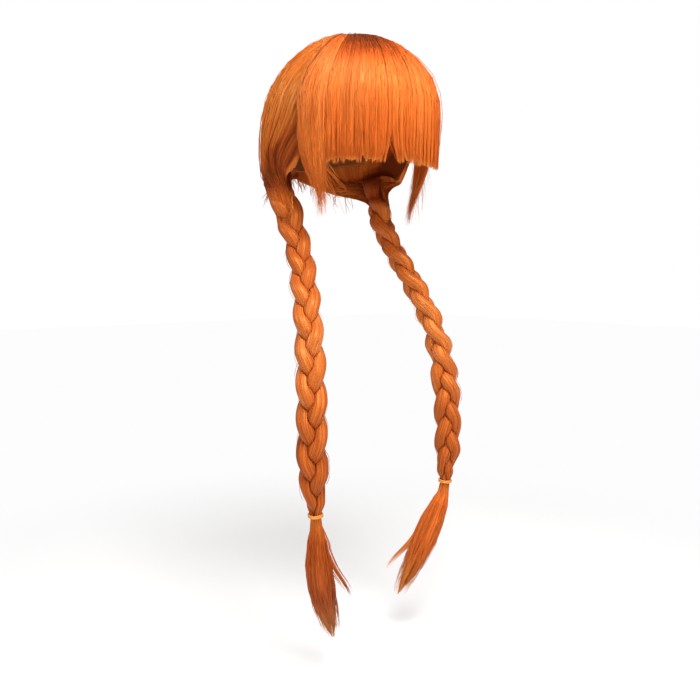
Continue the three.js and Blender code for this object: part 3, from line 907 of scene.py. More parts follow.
def fringe_under():
    columns, rows = FRINGE_UNDER["columns"], FRINGE_UNDER["rows"]
    u = np.linspace(0, 1, columns + 1)[None, :]
    v = np.linspace(0, 1, rows + 1)[:, None]
    relief = combed_relief(columns, rows, FRINGE_RIDGES)
    face = (fringe_edge(1.0) - FRINGE_UNDER["inset"]) * (2 * u - 1)
    level = cut_level(face) + FRINGE_UNDER["short"] + combed_relief(columns, 1, FRINGE_RAGGED)[:1]
    for spot, reach_up, half in FRINGE_PARTS:
        level = level + reach_up * bell(face, -spot, half)
    drop = WHORL_DROP + (drop_at(level) - WHORL_DROP) * v
    azimuth = (fringe_edge(drop) - FRINGE_UNDER["inset"]) * (2 * u - 1)
    thin = ease(v, FRINGE_UNDER["thins_from"], 1.0) * FRINGE_UNDER["thins"]
    swell = fringe_swell(azimuth, drop)
    ridges = relief * ease(v, 0.0, FRINGE_UNDER["ridged_from"])
    outer = over_form(LEFT, azimuth, drop, standoff(FRINGE_UNDER["outer"] - thin, drop) + ridges + swell)
    drawn = np.minimum(swell, 0.0)
    inner = over_form(LEFT, azimuth, drop, standoff(FRINGE_UNDER["inner"] + thin, drop) + drawn)
    # Painted highlight and painted shade, in shade numbers.
    tone = painted_sheen_and_shade(azimuth, drop) - painted_whorl_shade(azimuth, drop)
    shades = tone_and_painted_relief_shade(relief, FRINGE_UNDER["middle"], FRINGE_UNDER["painted_relief"]) + middles(tone)
    return streaked_sheet("fringe_under", outer, inner, np.linspace(0, 1, rows + 1), whole_shades(shades))


print("fringe under-layer", FRINGE_UNDER["columns"], "columns by", FRINGE_UNDER["rows"], "rows")

# %% Fringe
# How many fibres, points on each and wisps, half a fibre's width in millimetres and the share of it at
# the root. Then the middle of its shade numbers, and how far fibres differ.
FRINGE = {"fibres": 2700, "points": 10, "wisps": 70, "half": 0.32, "root": 0.45}
FRINGE_TONE = {"middle": 40.0, "spread": 5.0}
# The fibres that run the whole way and the others: the depths they lie at and the drops they start from.
# The others start sunk, and have come up after a share of their length.
FRINGE_WHOLE = {"share": 0.6, "depths": (0.86, 1.0), "starts": (WHORL_DROP, 0.16)}
FRINGE_OTHER = {"depths": (0.4, 0.95), "starts": (0.15, 0.7), "sunk": 4.0, "risen_at": 0.14}
# How wisps and single fibres differ: the wisps' pull, their lean in degrees, and their length and rise in
# millimetres, the fibres' length and wander, and the fibres that are cut short, dark or stand away.
FRINGE_WISP = {"pull": 0.4, "drawn_from": 0.7, "lean": 0.9, "leans_from": 0.3, "length": 0.9}
FRINGE_CREST = {"by": 0.3, "over": (0.1, 0.5)}
FRINGE_STRAY = {"length": 1.2, "sideways": 0.28, "up": 0.25}
FRINGE_SHORT = {"share": 0.1, "by": (2, 16)}
FRINGE_DARK = {"share": 0.04, "by": 18.0}
FRINGE_AWAY = {"share": 0.03, "by": 3.6}


def fringe_fibres():
    count, length, wisp_count = FRINGE["fibres"], FRINGE["points"], FRINGE["wisps"]
    u = spread_shares(count)
    v = np.linspace(0, 1, length)[None, :]
    number, drawn = wisps(u, wisp_count, FRINGE_WISP["pull"])
    whole = rng.random(count) < FRINGE_WHOLE["share"]
    depth = either(whole, FRINGE_WHOLE["depths"], FRINGE_OTHER["depths"])
    start = either(whole, FRINGE_WHOLE["starts"], FRINGE_OTHER["starts"])
    uneven = by_wisp(number, wisp_count, FRINGE_WISP["length"])
    uneven = uneven + rng.normal(0, FRINGE_STRAY["length"], count)
    uneven = uneven + some(count, FRINGE_SHORT["share"], *FRINGE_SHORT["by"])
    end = drop_at(cut_level(fringe_edge(1.0) * (2 * u - 1)) + uneven)
    drop = start[:, None] + (end - start)[:, None] * v
    lean = by_wisp(number, wisp_count, FRINGE_WISP["lean"])
    across = u[:, None] + drawn[:, None] * ease(v, FRINGE_WISP["drawn_from"], 1.0)
    azimuth = fringe_edge(drop) * (2 * across - 1) + lean[:, None] * ease(v, FRINGE_WISP["leans_from"], 1.0)
    azimuth = azimuth + wobble(count, length, FRINGE_STRAY["sideways"])
    level = over_form(LEFT, azimuth, drop, 0.0)[..., 2]
    azimuth = part_aside(azimuth, level)
    crest = by_wisp(number, wisp_count, FRINGE_CREST["by"])[:, None] * ease(v, *FRINGE_CREST["over"])
    lift = standoff(depth[:, None], drop) + crest + wobble(count, length, FRINGE_STRAY["up"])
    sunk = FRINGE_OTHER["sunk"] * (1 - ease(v, 0.0, FRINGE_OTHER["risen_at"])) * (~whole)[:, None]
    lift = lift - sunk + fringe_swell(azimuth, drop)
    lift = lift + flyaway(count, length, FRINGE_AWAY["share"], FRINGE_AWAY["by"])
    paths = over_form(LEFT, azimuth, drop, lift)
    along = drop / drop_at(BROW_LEVEL)
    shades = mixed_shades(number, wisp_count, FRINGE_TONE["middle"], FRINGE_TONE["spread"])[:, None]
    # Painted highlight and painted shade over the fringe.
    shades = shades + painted_sheen_and_shade(azimuth, drop) - painted_whorl_shade(azimuth, drop)
    shades = shades - FRINGE_DARK["by"] * (rng.random(count) < FRINGE_DARK["share"])[:, None]
    width = fibre_width(count, length, FRINGE["half"], root=FRINGE["root"])
    return paths, width, np.clip(shades, 0, SHADES - 1), along


fringe = comb("fringe_hair", fringe_under(), *fringe_fibres(), crown_fibre)
place(fringe, "fringe", "hair")

# %% [markdown]
# The side locks
#
# A thin lock hangs beside the face on each side, past the jaw, and thins out to a few fibres at its
# tip. It is combed from the same section of the crown, between the fringe and the swept hair.

# %% Shape of a side lock
# The levels where it starts to narrow and where it ends, how much it narrows, how far its tip curls in, and
# the share across it that its longest fibres lie at.
LOCK_SHAPE = {"start": -110.0, "tip": -188.0, "narrows": 0.9, "curl": 9.0, "longest": 0.3}
# Where the tip hangs, as a share of the way from the fringe to the temple.
LOCK_LEAN = {RIGHT: 0.3, LEFT: 1.15}


def lock_tip(drop):
    # 0 where the lock starts to narrow and 1 at its tip.
    return ease(drop, drop_at(LOCK_SHAPE["start"]), drop_at(LOCK_SHAPE["tip"]))


def side_lock_azimuth(side, share, drop):
    low, high = fringe_edge(drop), temple_edge(drop)
    middle = low + LOCK_LEAN[side] * (high - low)
    return middle + (low + share * (high - low) - middle) * (1 - LOCK_SHAPE["narrows"] * lock_tip(drop))


print("a side lock ends at", LOCK_SHAPE["tip"], "mm")

# %% Side lock under-layer
# The under-layer ends short of the tip, and shorter towards its edges. Its two faces close on each other.
LOCK_UNDER = {
    "columns": 60,
    "rows": 40,
    "inset": 0.02,
    "short": 26.0,
    "edges_short": 30.0,
    "outer": 0.9,
    "outer_thins": 0.32,
    "inner": 0.08,
    "inner_thins": 0.44,
    "thins_from": 0.55,
    "ridged_from": 0.3,
    "middle": 36,
    "painted_relief": 9,
}
LOCK_RIDGES = [(12, 0.35, 2), (4, 0.2, 3), (1, 0.1, 3)]
LOCK_RAGGED = [(8, 5.0, 1), (3, 3.0, 1)]


def side_lock_under(side):
    columns, rows = LOCK_UNDER["columns"], LOCK_UNDER["rows"]
    u = np.linspace(0, 1, columns + 1)[None, :]
    v = np.linspace(0, 1, rows + 1)[:, None]
    ragged = combed_relief(columns, 1, LOCK_RAGGED)[:1]
    edges = LOCK_UNDER["edges_short"] * np.abs(u - LOCK_SHAPE["longest"])
    last = drop_at(LOCK_SHAPE["tip"] + LOCK_UNDER["short"] + edges + ragged)
    drop = WHORL_DROP + (last - WHORL_DROP) * v
    azimuth = side_lock_azimuth(side, LOCK_UNDER["inset"] + (1 - 2 * LOCK_UNDER["inset"]) * u, drop)
    tucked = LOCK_SHAPE["curl"] * lock_tip(drop)
    relief = combed_relief(columns, rows, LOCK_RIDGES)
    thin = ease(v, LOCK_UNDER["thins_from"], 1.0)
    ridges = relief * ease(v, 0, LOCK_UNDER["ridged_from"])
    outer = standoff(LOCK_UNDER["outer"] - LOCK_UNDER["outer_thins"] * thin, drop) + ridges - tucked
    inner = standoff(LOCK_UNDER["inner"] + LOCK_UNDER["inner_thins"] * thin, drop) - tucked
    return streaked_sheet(
        f"side_lock_{WORDS[side]}_under",
        over_form(side, azimuth, drop, outer),
        over_form(side, azimuth, drop, inner),
        np.linspace(0, 1, rows + 1),
        tone_and_painted_relief_shade(relief, LOCK_UNDER["middle"], LOCK_UNDER["painted_relief"]),
    )


print("side lock under-layer", LOCK_UNDER["columns"], "columns by", LOCK_UNDER["rows"], "rows")

# %% Side locks
SIDE_LOCK = {"fibres": 520, "points": 14, "wisps": 18, "half": 0.3, "root": 0.45}
# Lighter than the fringe by painted light, for the shade the curled lock lies in: the middle of its shade
# numbers, and how far fibres differ.
LOCK_TONE_AND_PAINTED_LIGHT = {"middle": 50.0, "spread": 5.0}
# The fibres: how they draw into wisps, their depths and starts, and how much shorter than the tip they are,
# those towards an edge and any of them. A few are a little longer instead.
LOCK_WISP = {"pull": 0.7, "drawn_from": 0.45, "depths": (0.5, 1.02), "starts": (WHORL_DROP, 0.2)}
LOCK_EDGE = {"shorter": 46.0, "power": 1.2, "among": (0.4, 1.1)}
LOCK_ENDS = {"shorter": 40.0, "power": 1.6, "long_share": 0.05, "longer": 5}
# Their wander in degrees and millimetres, and how far their ends spread.
LOCK_STRAY = {"sideways": 0.5, "up": 0.4, "ends": 1.6, "ends_from": 0.6}
# Some of those at the back edge arch over the swept hair, and some ends swing forward, in degrees.
LOCK_OVER = {"from": 0.7, "share": 0.3, "by": (2, 8), "turns": 1.7, "up": 1.2, "up_over": (0.05, 0.2)}
LOCK_SWUNG = {"share": 0.08, "by": (4, 20), "from": 0.72, "power": 1.5}


def side_lock_fibres(side):
    count, length = SIDE_LOCK["fibres"], SIDE_LOCK["points"]
    u = spread_shares(count)
    v = np.linspace(0, 1, length)[None, :]
    number, drawn = wisps(u, SIDE_LOCK["wisps"], LOCK_WISP["pull"])
    depth = rng.uniform(*LOCK_WISP["depths"], count)
    start = rng.uniform(*LOCK_WISP["starts"], count)
    from_middle = np.abs(u - LOCK_SHAPE["longest"]) / (1 - LOCK_SHAPE["longest"])
    shorter = LOCK_EDGE["shorter"] * from_middle ** LOCK_EDGE["power"]
    shorter = shorter * rng.uniform(*LOCK_EDGE["among"], count)
    ends = LOCK_SHAPE["tip"] + shorter + LOCK_ENDS["shorter"] * rng.random(count) ** LOCK_ENDS["power"]
    long = rng.random(count) < LOCK_ENDS["long_share"]
    ends = np.where(long, LOCK_SHAPE["tip"] - rng.uniform(0, LOCK_ENDS["longer"], count), ends)
    drop = start[:, None] + (drop_at(ends) - start)[:, None] * v
    across = u[:, None] + drawn[:, None] * ease(v, LOCK_WISP["drawn_from"], 1.0)
    azimuth = side_lock_azimuth(side, across, drop) + wobble(count, length, LOCK_STRAY["sideways"])
    spread = rng.normal(0, LOCK_STRAY["ends"], (count, 1))
    azimuth = azimuth + spread * ease(v, LOCK_STRAY["ends_from"], 1.0)
    over = np.where(u > LOCK_OVER["from"], some(count, LOCK_OVER["share"], *LOCK_OVER["by"]), 0.0)
    azimuth = azimuth + over[:, None] * np.sin(np.pi * np.clip(LOCK_OVER["turns"] * v, 0, 1))
    swung = some(count, LOCK_SWUNG["share"], *LOCK_SWUNG["by"])
    azimuth = azimuth - swung[:, None] * ease(v, LOCK_SWUNG["from"], 1.0) ** LOCK_SWUNG["power"]
    tucked = LOCK_SHAPE["curl"] * lock_tip(drop)
    lift = standoff(depth[:, None], drop) - tucked + wobble(count, length, LOCK_STRAY["up"])
    lift = lift + np.sign(over)[:, None] * LOCK_OVER["up"] * ease(v, *LOCK_OVER["up_over"])
    paths = over_form(side, azimuth, drop, lift)
    along = drop / drop_at(LOCK_SHAPE["tip"])
    # Painted light, lighter than the fringe.
    shades = mixed_shades(number, SIDE_LOCK["wisps"], LOCK_TONE_AND_PAINTED_LIGHT["middle"], LOCK_TONE_AND_PAINTED_LIGHT["spread"])[:, None]
    # The painted sheen band over the crown.
    shades = shades + painted_sheen_and_shade(0.0, drop)
    width = fibre_width(count, length, SIDE_LOCK["half"], root=SIDE_LOCK["root"])
    return paths, width, np.clip(shades, 0, SHADES - 1), along


for side in (RIGHT, LEFT):
    lock = comb(f"side_lock_{WORDS[side]}_hair", side_lock_under(side), *side_lock_fibres(side), crown_fibre)
    place(lock, f"side_lock_{WORDS[side]}", "hair")

# %% [markdown]
# The plait's centre line
#
# A plait hangs along a curve behind the ear, over the shoulder and down. The curve runs through a few
# points, and every lobe, the tie and the tail are set out from it.

# %% Curve through points
# A line's direction is read from points this share of its length to either side.
TANGENT_STEP = 0.004


class Line:
    # A centripetal curve through points, read by its share of the length.
    def __init__(self, points, samples=40):
        points = np.asarray(points, float)
        ends = [2 * points[0] - points[1], *points, 2 * points[-1] - points[-2]]
        pieces = []
        for i in range(len(points) - 1):
            p0, p1, p2, p3 = (ends[i + k] for k in range(4))
            gaps = [np.linalg.norm(b - a) ** 0.5 for a, b in ((p0, p1), (p1, p2), (p2, p3))]
            m1 = (p1 - p0) / gaps[0] - (p2 - p0) / (gaps[0] + gaps[1]) + (p2 - p1) / gaps[1]
            m2 = (p2 - p1) / gaps[1] - (p3 - p1) / (gaps[1] + gaps[2]) + (p3 - p2) / gaps[2]
            m1, m2 = m1 * gaps[1], m2 * gaps[1]
            t = np.linspace(0, 1, samples, endpoint=False)[:, None]
            bend = (-3 * p1 + 3 * p2 - 2 * m1 - m2) * t**2 + (2 * p1 - 2 * p2 + m1 + m2) * t**3
            pieces.append(p1 + m1 * t + bend)
        self.points = np.concatenate([*pieces, points[-1:]])
        steps = np.linalg.norm(np.diff(self.points, axis=0), axis=1)
        self.travel = np.concatenate([[0.0], np.cumsum(steps)])
        self.length = self.travel[-1]

    def between_ends(self, share):
        travelled = share * self.length
        return np.stack([np.interp(travelled, self.travel, axis) for axis in self.points.T], axis=-1)

    def at(self, along):
        # Past an end the line runs straight on.
        along = np.asarray(along, float)
        inside = np.clip(along, 0, 1)
        past = (along - inside)[..., None]
        return self.between_ends(inside) + past * self.length * self.tangent(inside)

    def tangent(self, along):
        # Past an end the way there is kept.
        inside = np.clip(along, 0, 1)
        ahead = self.between_ends(np.clip(inside + TANGENT_STEP, 0, 1))
        return unit(ahead - self.between_ends(np.clip(inside - TANGENT_STEP, 0, 1)))


print("line helper ready, step", TANGENT_STEP)

# %% Plait lines
PLAIT_LINE = [
    (73, 34, -157),
    (71, 20, -192),
    (75, -2, -229),
    (85, -25, -269),
    (96, -47, -319),
    (103.5, -60, -384),
    (106, -64, -449),
    (102, -64, -509),
]
# The turn of the plait's broad way, in degrees, at shares of its length.
PLAIT_ROLL = {
    RIGHT: ([0, 1], [-40, -40]),
    LEFT: ([0, 0.45, 0.75, 1], [40, 60, 140, 140]),
}
plait_lines = {side: Line(np.array(PLAIT_LINE) * [side, 1, 1]) for side in (RIGHT, LEFT)}
# On each edge a lobe shows once in this length. A strand swings and weaves about the plait's middle, wide
# and deep are its half widths where it isn't pressed, and sharp is how sharply the pressed part begins.
PLAIT = {"lobe": 37.0, "swing": 8.0, "weave": 5.0, "wide": 8.9, "deep": 9.2, "sharp": 2.0}
STRANDS = 3
# The plait's girth at shares of its length, for a full one.
PLAIT_ALONG = [-0.02, 0.035, 0.2, 0.4, 0.7, 0.88, 0.96, 1.0]
PLAIT_GIRTH = [0.55, 1.02, 0.9, 0.94, 1.0, 0.98, 0.66, 0.39]


def plait_frame(side, along):
    # The plait's middle, its broad and deep directions and its tangent, at shares of its length.
    along = np.asarray(along, float)
    line = plait_lines[side]
    tangent = line.tangent(along)
    roll = np.radians(eased(*PLAIT_ROLL[side], along))
    wide = np.stack([np.cos(roll), np.sin(roll), np.zeros_like(roll)], axis=-1)
    wide = unit(wide - np.sum(wide * tangent, axis=-1, keepdims=True) * tangent)
    deep = unit(np.cross(wide, tangent))
    return line.at(along), wide, deep, tangent


def plait_turns(side, along):
    return along * plait_lines[side].length / (STRANDS * PLAIT["lobe"])


def strand_centre(strand, turns, girth):
    angle = 2 * np.pi * (turns + strand / STRANDS)
    swung = np.stack([PLAIT["swing"] * np.sin(angle), PLAIT["weave"] * np.sin(2 * angle)], axis=-1)
    return swung * girth[..., None]


def plait_reach(side, along, way):
    # How far the strands stand out from the plait's middle, along unit directions in its cross-section.
    girth = eased(PLAIT_ALONG, PLAIT_GIRTH, along)
    half = np.array([PLAIT["wide"], PLAIT["deep"]]) * girth[..., None]
    ray = way / half
    square = np.sum(ray**2, axis=-1)
    reach = np.zeros(along.shape)
    for strand in range(STRANDS):
        centre = strand_centre(strand, plait_turns(side, along), girth) / half
        ahead = np.sum(ray * centre, axis=-1)
        met = ahead**2 - square * (np.sum(centre**2, axis=-1) - 1)
        edge = (ahead + np.sqrt(np.maximum(met, 0))) / square
        reach = np.maximum(reach, np.where(met > 0, edge, 0.0))
    return reach


print("plait length", round(plait_lines[RIGHT].length, 1), "mm")

# %% [markdown]
# The swept hair
#
# From under the side lock, the whorl and the centre part at the back, the hair is combed round the head
# and down into a gather below the ear, where the plait begins. A table gives the way: each of its lines
# starts at a root and passes a few azimuths and drops on the way to the gather, and a smooth surface
# through the table gives every fibre between them. Each fibre also has a place in the thickness, and
# a spot in the gather that follows from the two.

# %% Flow of the swept hair
# The azimuths and drops that each line passes from its root to the gather, from the temple to the nape.
FLOW_LINES = np.array(
    [
        [[78, 1.3], [83, 1.42], [87, 1.52], [91, 1.61], [95, 1.7]],
        [[76, 0.85], [88, 1.04], [97, 1.24], [103, 1.46], [101, 1.76]],
        [[62, 0.36], [82, 0.66], [97, 1.0], [111, 1.43], [106, 1.81]],
        [[56, 0.02], [97, 0.48], [116, 0.98], [126, 1.48], [112, 1.85]],
        [[126, 0.02], [134, 0.48], [141, 0.98], [137, 1.5], [116, 1.86]],
        [[180, 0.05], [171, 0.45], [157, 0.97], [144, 1.49], [119, 1.86]],
        [[180, 0.86], [173, 0.98], [162, 1.18], [147, 1.53], [121, 1.85]],
        [[180, 1.52], [173, 1.55], [161, 1.61], [145, 1.7], [124, 1.82]],
    ]
)
# How far the swept hair's front edge laps under the side lock, in degrees.
SEAM_LAP = 1.6


def through(values, share):
    # A smooth curve through evenly spaced values along the first axis, read at one share for each point.
    last = len(values) - 1
    spot = np.clip(share, 0, 1) * last
    i = np.minimum(spot.astype(int), last - 1)
    point = np.arange(len(share))
    t = (spot - i)[:, None]
    p0, p1, p2, p3 = (values[np.clip(i + k, 0, last), point] for k in (-1, 0, 1, 2))
    m1, m2 = (p2 - p0) / 2, (p3 - p1) / 2
    return p1 + m1 * t + (3 * (p2 - p1) - 2 * m1 - m2) * t**2 + (2 * (p1 - p2) + m1 + m2) * t**3


def flow_at(u, v):
    # Azimuth and drop of the flow lines: u runs from the temple to the nape, v from root to gather.
    u, v = np.broadcast_arrays(u, v)
    each = np.broadcast_to(FLOW_LINES[:, :, None, :], (*FLOW_LINES.shape[:2], u.size, 2))
    lines = np.stack([through(line, v.ravel()) for line in each])
    azimuth, drop = through(lines, u.ravel()).T
    azimuth = np.clip(azimuth, temple_edge(drop) - SEAM_LAP, 180.0)
    return azimuth.reshape(u.shape), drop.reshape(u.shape)


print(len(FLOW_LINES), "flow lines a side")

# %% Gather at the plait
# The gather is an oval ring about the plait's root, set higher at its inner side, and the flow turns into
# it from a share of the way. Past it the hair closes in on the strands and sinks in among them: how far
# past and how deep, in millimetres, and the shade numbers it loses. Of half a turn round the plait, the
# flow lines start at a share and take up a span, and no direction is shorter than the smallest length.
GATHER = {"wide": 17.0, "deep": 14.5, "rise": -4.0, "rise_inside": 20.0, "turns_from": 0.76}
GATHER_TURN = {"start": 0.06, "span": 0.88, "smallest": 1e-4}
GATHER_END = {"closes": 36.0, "sinks": 1.0, "shade": 6.0, "shade_over": (0.9, 1.1)}
# A flow line that runs on past the gather by its own length goes this far down the plait.
PAST_GATHER = 100.0


def gather_paths(side, u, past, depth, sinks):
    # Points round the plait: past is the way down from the gather's ring, and up from it if below 0.
    _, _, _, tangent = plait_frame(side, 0.0)
    out = unit(np.cross(tangent, [0.0, side, 0.0]))
    forward = np.cross(out, tangent) * -side
    turn = np.pi * (GATHER_TURN["start"] + GATHER_TURN["span"] * u)
    way = forward * np.cos(turn)[..., None] + out * (np.sin(turn) * (2 * depth - 1))[..., None]
    rise = GATHER["rise_inside"] + (GATHER["rise"] - GATHER["rise_inside"]) * depth
    along = (past - rise) / plait_lines[side].length
    middle, wide, deep, _ = plait_frame(side, along)
    flat = np.stack([np.sum(way * wide, axis=-1), np.sum(way * deep, axis=-1)], axis=-1)
    size = np.maximum(np.linalg.norm(flat, axis=-1), GATHER_TURN["smallest"])
    flat = flat / size[..., None]
    ring = 1 / np.hypot(flat[..., 0] / GATHER["wide"], flat[..., 1] / GATHER["deep"])
    closed = ease(past, 0.0, GATHER_END["closes"])
    radius = size * (ring + (plait_reach(side, along, flat) - sinks - ring) * closed)
    return middle + (wide * flat[..., :1] + deep * flat[..., 1:]) * radius[..., None]


print("the gather closes over", GATHER_END["closes"], "mm")

# %% Way of a fibre from its root to the plait
# The lowest drop the swept hair has before the gather, at its inner face and how much more at its outer one.
LOWEST = {"inner": 1.56, "more": 0.32}
# It is drawn in behind the side lock, by up to this much but no closer to the form than closest.
DRAWN_IN = {"by": 8.0, "closest": 3.4, "azimuths": (84.0, 110.0), "drops": (0.8, 1.25)}
# It bulges over the middle of its flow, more towards the gather. Beside the part at the back it springs up
# from the cap and its outer face dips at the roots, and it stands a little higher round the crown.
BULGE = {"by": 4.5, "low": 1.8}
AT_PART = {"lines": (0.52, 0.7), "spring": 3.0, "dip": 5.0, "dip_to": 0.14}
CROWN_RISE = {"by": 1.3, "drop": 0.28, "spread": 0.16}


def swept_paths(side, u, v, depth, extra_lift, sinks=GATHER_END["sinks"]):
    # Points of flow lines. Past the gather, at v above 1, they run on down the plait.
    azimuth, drop = flow_at(u, np.minimum(v, 1.0))
    drop = np.minimum(drop, LOWEST["inner"] + LOWEST["more"] * depth)
    drawn_in = DRAWN_IN["by"] * (1 - ease(azimuth, *DRAWN_IN["azimuths"])) * ease(drop, *DRAWN_IN["drops"])
    swell = np.sin(np.pi * np.clip(v, 0, 1) ** BULGE["low"]) ** 2
    bulge = BULGE["by"] * swell * np.sin(np.pi * np.clip(u, 0, 1))
    at_part = ease(u, *AT_PART["lines"])
    low = np.maximum(standoff(0.0, drop) - drawn_in, DRAWN_IN["closest"]) + AT_PART["spring"] * at_part
    dip = AT_PART["dip"] * at_part * (1 - ease(v, 0.0, AT_PART["dip_to"]))
    crown = CROWN_RISE["by"] * bell(drop, CROWN_RISE["drop"], CROWN_RISE["spread"])
    high = standoff(1.0, drop) - drawn_in + bulge - dip + crown
    on_form = over_form(side, azimuth, drop, low + depth * (high - low) + extra_lift)
    past = PAST_GATHER * np.maximum(v - 1.0, GATHER["turns_from"] - 1.0)
    spot = gather_paths(side, u, past, depth, sinks)
    blend = ease(v, GATHER["turns_from"], 1.0)[..., None]
    return on_form + (spot - on_form) * blend


print("the swept hair bulges by", BULGE["by"], "mm")

# %% Shades of the swept hair
# The share of the hair map's length that the flow lines take up, up to the gather.
TO_GATHER = 0.9
# Painted shade in the hollow behind the side lock, where shade falls: the azimuths over which it fades, the
# level it starts at by the azimuth named, how much lower it starts for each degree, how many millimetres it
# takes to reach its full depth in shade numbers, and the depths below the crown over which it ends.
HOLLOW_PAINTED_SHADE = {
    "by": 28.0,
    "azimuths": (110.0, 140.0),
    "from": -80.0,
    "azimuth": 85.0,
    "slope": 1.1,
    "fade": 20.0,
    "ends": (152.0, 172.0),
}
# A painted lit strip at the hollow's front edge is spared the painted shade: the edge's azimuth and how much
# further back it runs between two depths below the crown, the strip's breadth in degrees, and the depths
# over which it begins.
LIT_STRIP = {
    "azimuth": 79.0,
    "back": 16.0,
    "between": (115.0, 147.0),
    "broad": (0.5, 4.0),
    "begins": (112.0, 120.0),
}


def swept_along(v):
    # Where a point of a flow line is along the hair, for its colour.
    return np.where(v < 1, TO_GATHER * v, TO_GATHER + (1 - TO_GATHER) * (v - 1))


def painted_hollow_shade(paths):
    # Painted shade: shade numbers to take off in the hollow, from points already in place.
    across = np.abs(paths[..., 0]) / FORM["half_width"]
    azimuth = np.degrees(np.arctan2(across, -paths[..., 1] / FORM["half_depth"]))
    below = -paths[..., 2]
    start = HOLLOW_PAINTED_SHADE["from"] - HOLLOW_PAINTED_SHADE["slope"] * (azimuth - HOLLOW_PAINTED_SHADE["azimuth"])
    beside = 1 - ease(azimuth, *HOLLOW_PAINTED_SHADE["azimuths"])
    front = LIT_STRIP["azimuth"] + LIT_STRIP["back"] * ease(below, *LIT_STRIP["between"])
    lit = ease(below, *LIT_STRIP["begins"]) * (1 - ease(azimuth - front, *LIT_STRIP["broad"]))
    above = 1 - ease(below, *HOLLOW_PAINTED_SHADE["ends"])
    return HOLLOW_PAINTED_SHADE["by"] * beside * above * ease(start - paths[..., 2], 0.0, HOLLOW_PAINTED_SHADE["fade"]) * (1 - lit)


print("the hollow is", HOLLOW_PAINTED_SHADE["by"], "shade numbers darker")

# %% Swept under-layer
# The under-layer keeps clear of the part and the temple, and its faces close on each other at the nape.
# Its ridges grow in from the roots, and sink by a share at the gather.
SWEPT_UNDER = {
    "columns": 240,
    "rows": 38,
    "inset": 0.002,
    "outer": 0.93,
    "inner": 0.05,
    "thins": 0.25,
    "thins_from": 0.85,
    "ridged_from": 0.2,
    "ridges_sink": 0.6,
    "sink_from": 0.8,
    "middle": 35,
    "painted_relief": 9,
}
SWEPT_RIDGES = [(20, 0.4, 3), (6, 0.25, 4), (2, 0.12, 4), (1, 0.06, 3)]


def swept_under(side):
    columns, rows = SWEPT_UNDER["columns"], SWEPT_UNDER["rows"]
    across = np.linspace(SWEPT_UNDER["inset"], 1 - SWEPT_UNDER["inset"], columns + 1)
    u = np.broadcast_to(across[None, :], (rows + 1, columns + 1))
    steps = np.linspace(0, 1 + GATHER_END["closes"] / PAST_GATHER, rows + 1)
    v = np.broadcast_to(steps[:, None], (rows + 1, columns + 1))
    relief = combed_relief(columns, rows, SWEPT_RIDGES)
    sunk = SWEPT_UNDER["ridges_sink"] * ease(v, SWEPT_UNDER["sink_from"], 1.0)
    grown = ease(v, 0.0, SWEPT_UNDER["ridged_from"]) * (1 - sunk)
    thin = SWEPT_UNDER["thins"] * ease(u, SWEPT_UNDER["thins_from"], 1.0)
    outer = swept_paths(side, u, v, SWEPT_UNDER["outer"] - thin, relief * grown)
    inner = swept_paths(side, u, v, SWEPT_UNDER["inner"] + thin, 0.0)
    # The hollow's painted shade, and the shade numbers lost past the gather.
    off = middles(painted_hollow_shade(outer) + GATHER_END["shade"] * ease(v, *GATHER_END["shade_over"]))
    shades = whole_shades(tone_and_painted_relief_shade(relief, SWEPT_UNDER["middle"], SWEPT_UNDER["painted_relief"]) - off)
    return streaked_sheet(f"swept_{WORDS[side]}_under", outer, inner, swept_along(steps), shades)


print("swept under-layer", SWEPT_UNDER["columns"], "columns by", SWEPT_UNDER["rows"], "rows")

# %% Short hairs at the nape
# Short loose hairs at the nape: the flow lines they are taken from and their share there, the flow line and
# the shares of it that they hang from, their lengths, and how far they lean to the plait and sway.
NAPE = {"from": 0.9, "share": 0.36, "line": 0.985, "roots": (0.0, 0.85), "depth": 0.5}
NAPE_HAIR = {"shortest": 3.0, "longest": 24.0, "power": 1.8, "lean": 0.3, "sway": 3.2}


def nape_hairs(side, count, length):
    # Short hairs that hang from the lower edge between the part and the gather.
    line, depth = np.full(count, NAPE["line"]), np.full(count, NAPE["depth"])
    root = swept_paths(side, line, rng.uniform(*NAPE["roots"], count), depth, 0.0)
    s = np.linspace(0, 1, length)[None, :]
    spare = NAPE_HAIR["longest"] - NAPE_HAIR["shortest"]
    fall = (NAPE_HAIR["shortest"] + spare * rng.random((count, 1)) ** NAPE_HAIR["power"]) * s
    sway = rng.normal(0, NAPE_HAIR["sway"], (count, 2, 1)) * s[:, None, :] ** 2
    hung = np.stack([side * NAPE_HAIR["lean"] * fall + sway[:, 0], sway[:, 1], -fall], axis=-1)
    return root[:, None, :] + hung


print("nape hairs are up to", NAPE_HAIR["longest"], "mm long")

# %% Swept hair
SWEPT = {"fibres": 1800, "points": 13, "wisps": 80, "half": 0.36, "root": 0.45, "tip": 0.3}
SWEPT_TONE = {"middle": 36.0, "spread": 5.0}
# The fibres that run the whole way and the others: their depths and where they start along a flow line.
# They end at a share past the gather, and sink in among the strands by some millimetres.
SWEPT_WHOLE = {"share": 0.75, "depths": (0.9, 1.0), "starts": (0.0, 0.08)}
SWEPT_OTHER = {"depths": (0.1, 0.97), "starts": (0.05, 0.4)}
SWEPT_ENDS = {"at": (1.05, 1.5), "sink": (-0.3, 0.6)}
# Depths over which a fibre's painted shade fades, from as dark as a sheet's inside to as light as its
# outside.
LIT_DEPTHS = (0.2, 0.8)
# How wisps and single fibres differ: pull, lean and wander in shares of the way from temple to nape, and
# rise and wander in millimetres. A few stand away.
SWEPT_WISP = {"pull": 0.5, "lean": 0.008, "crest": 0.35}
SWEPT_STRAY = {"sideways": 0.002, "up": 0.3}
SWEPT_AWAY = {"share": 0.03, "by": 4.0}


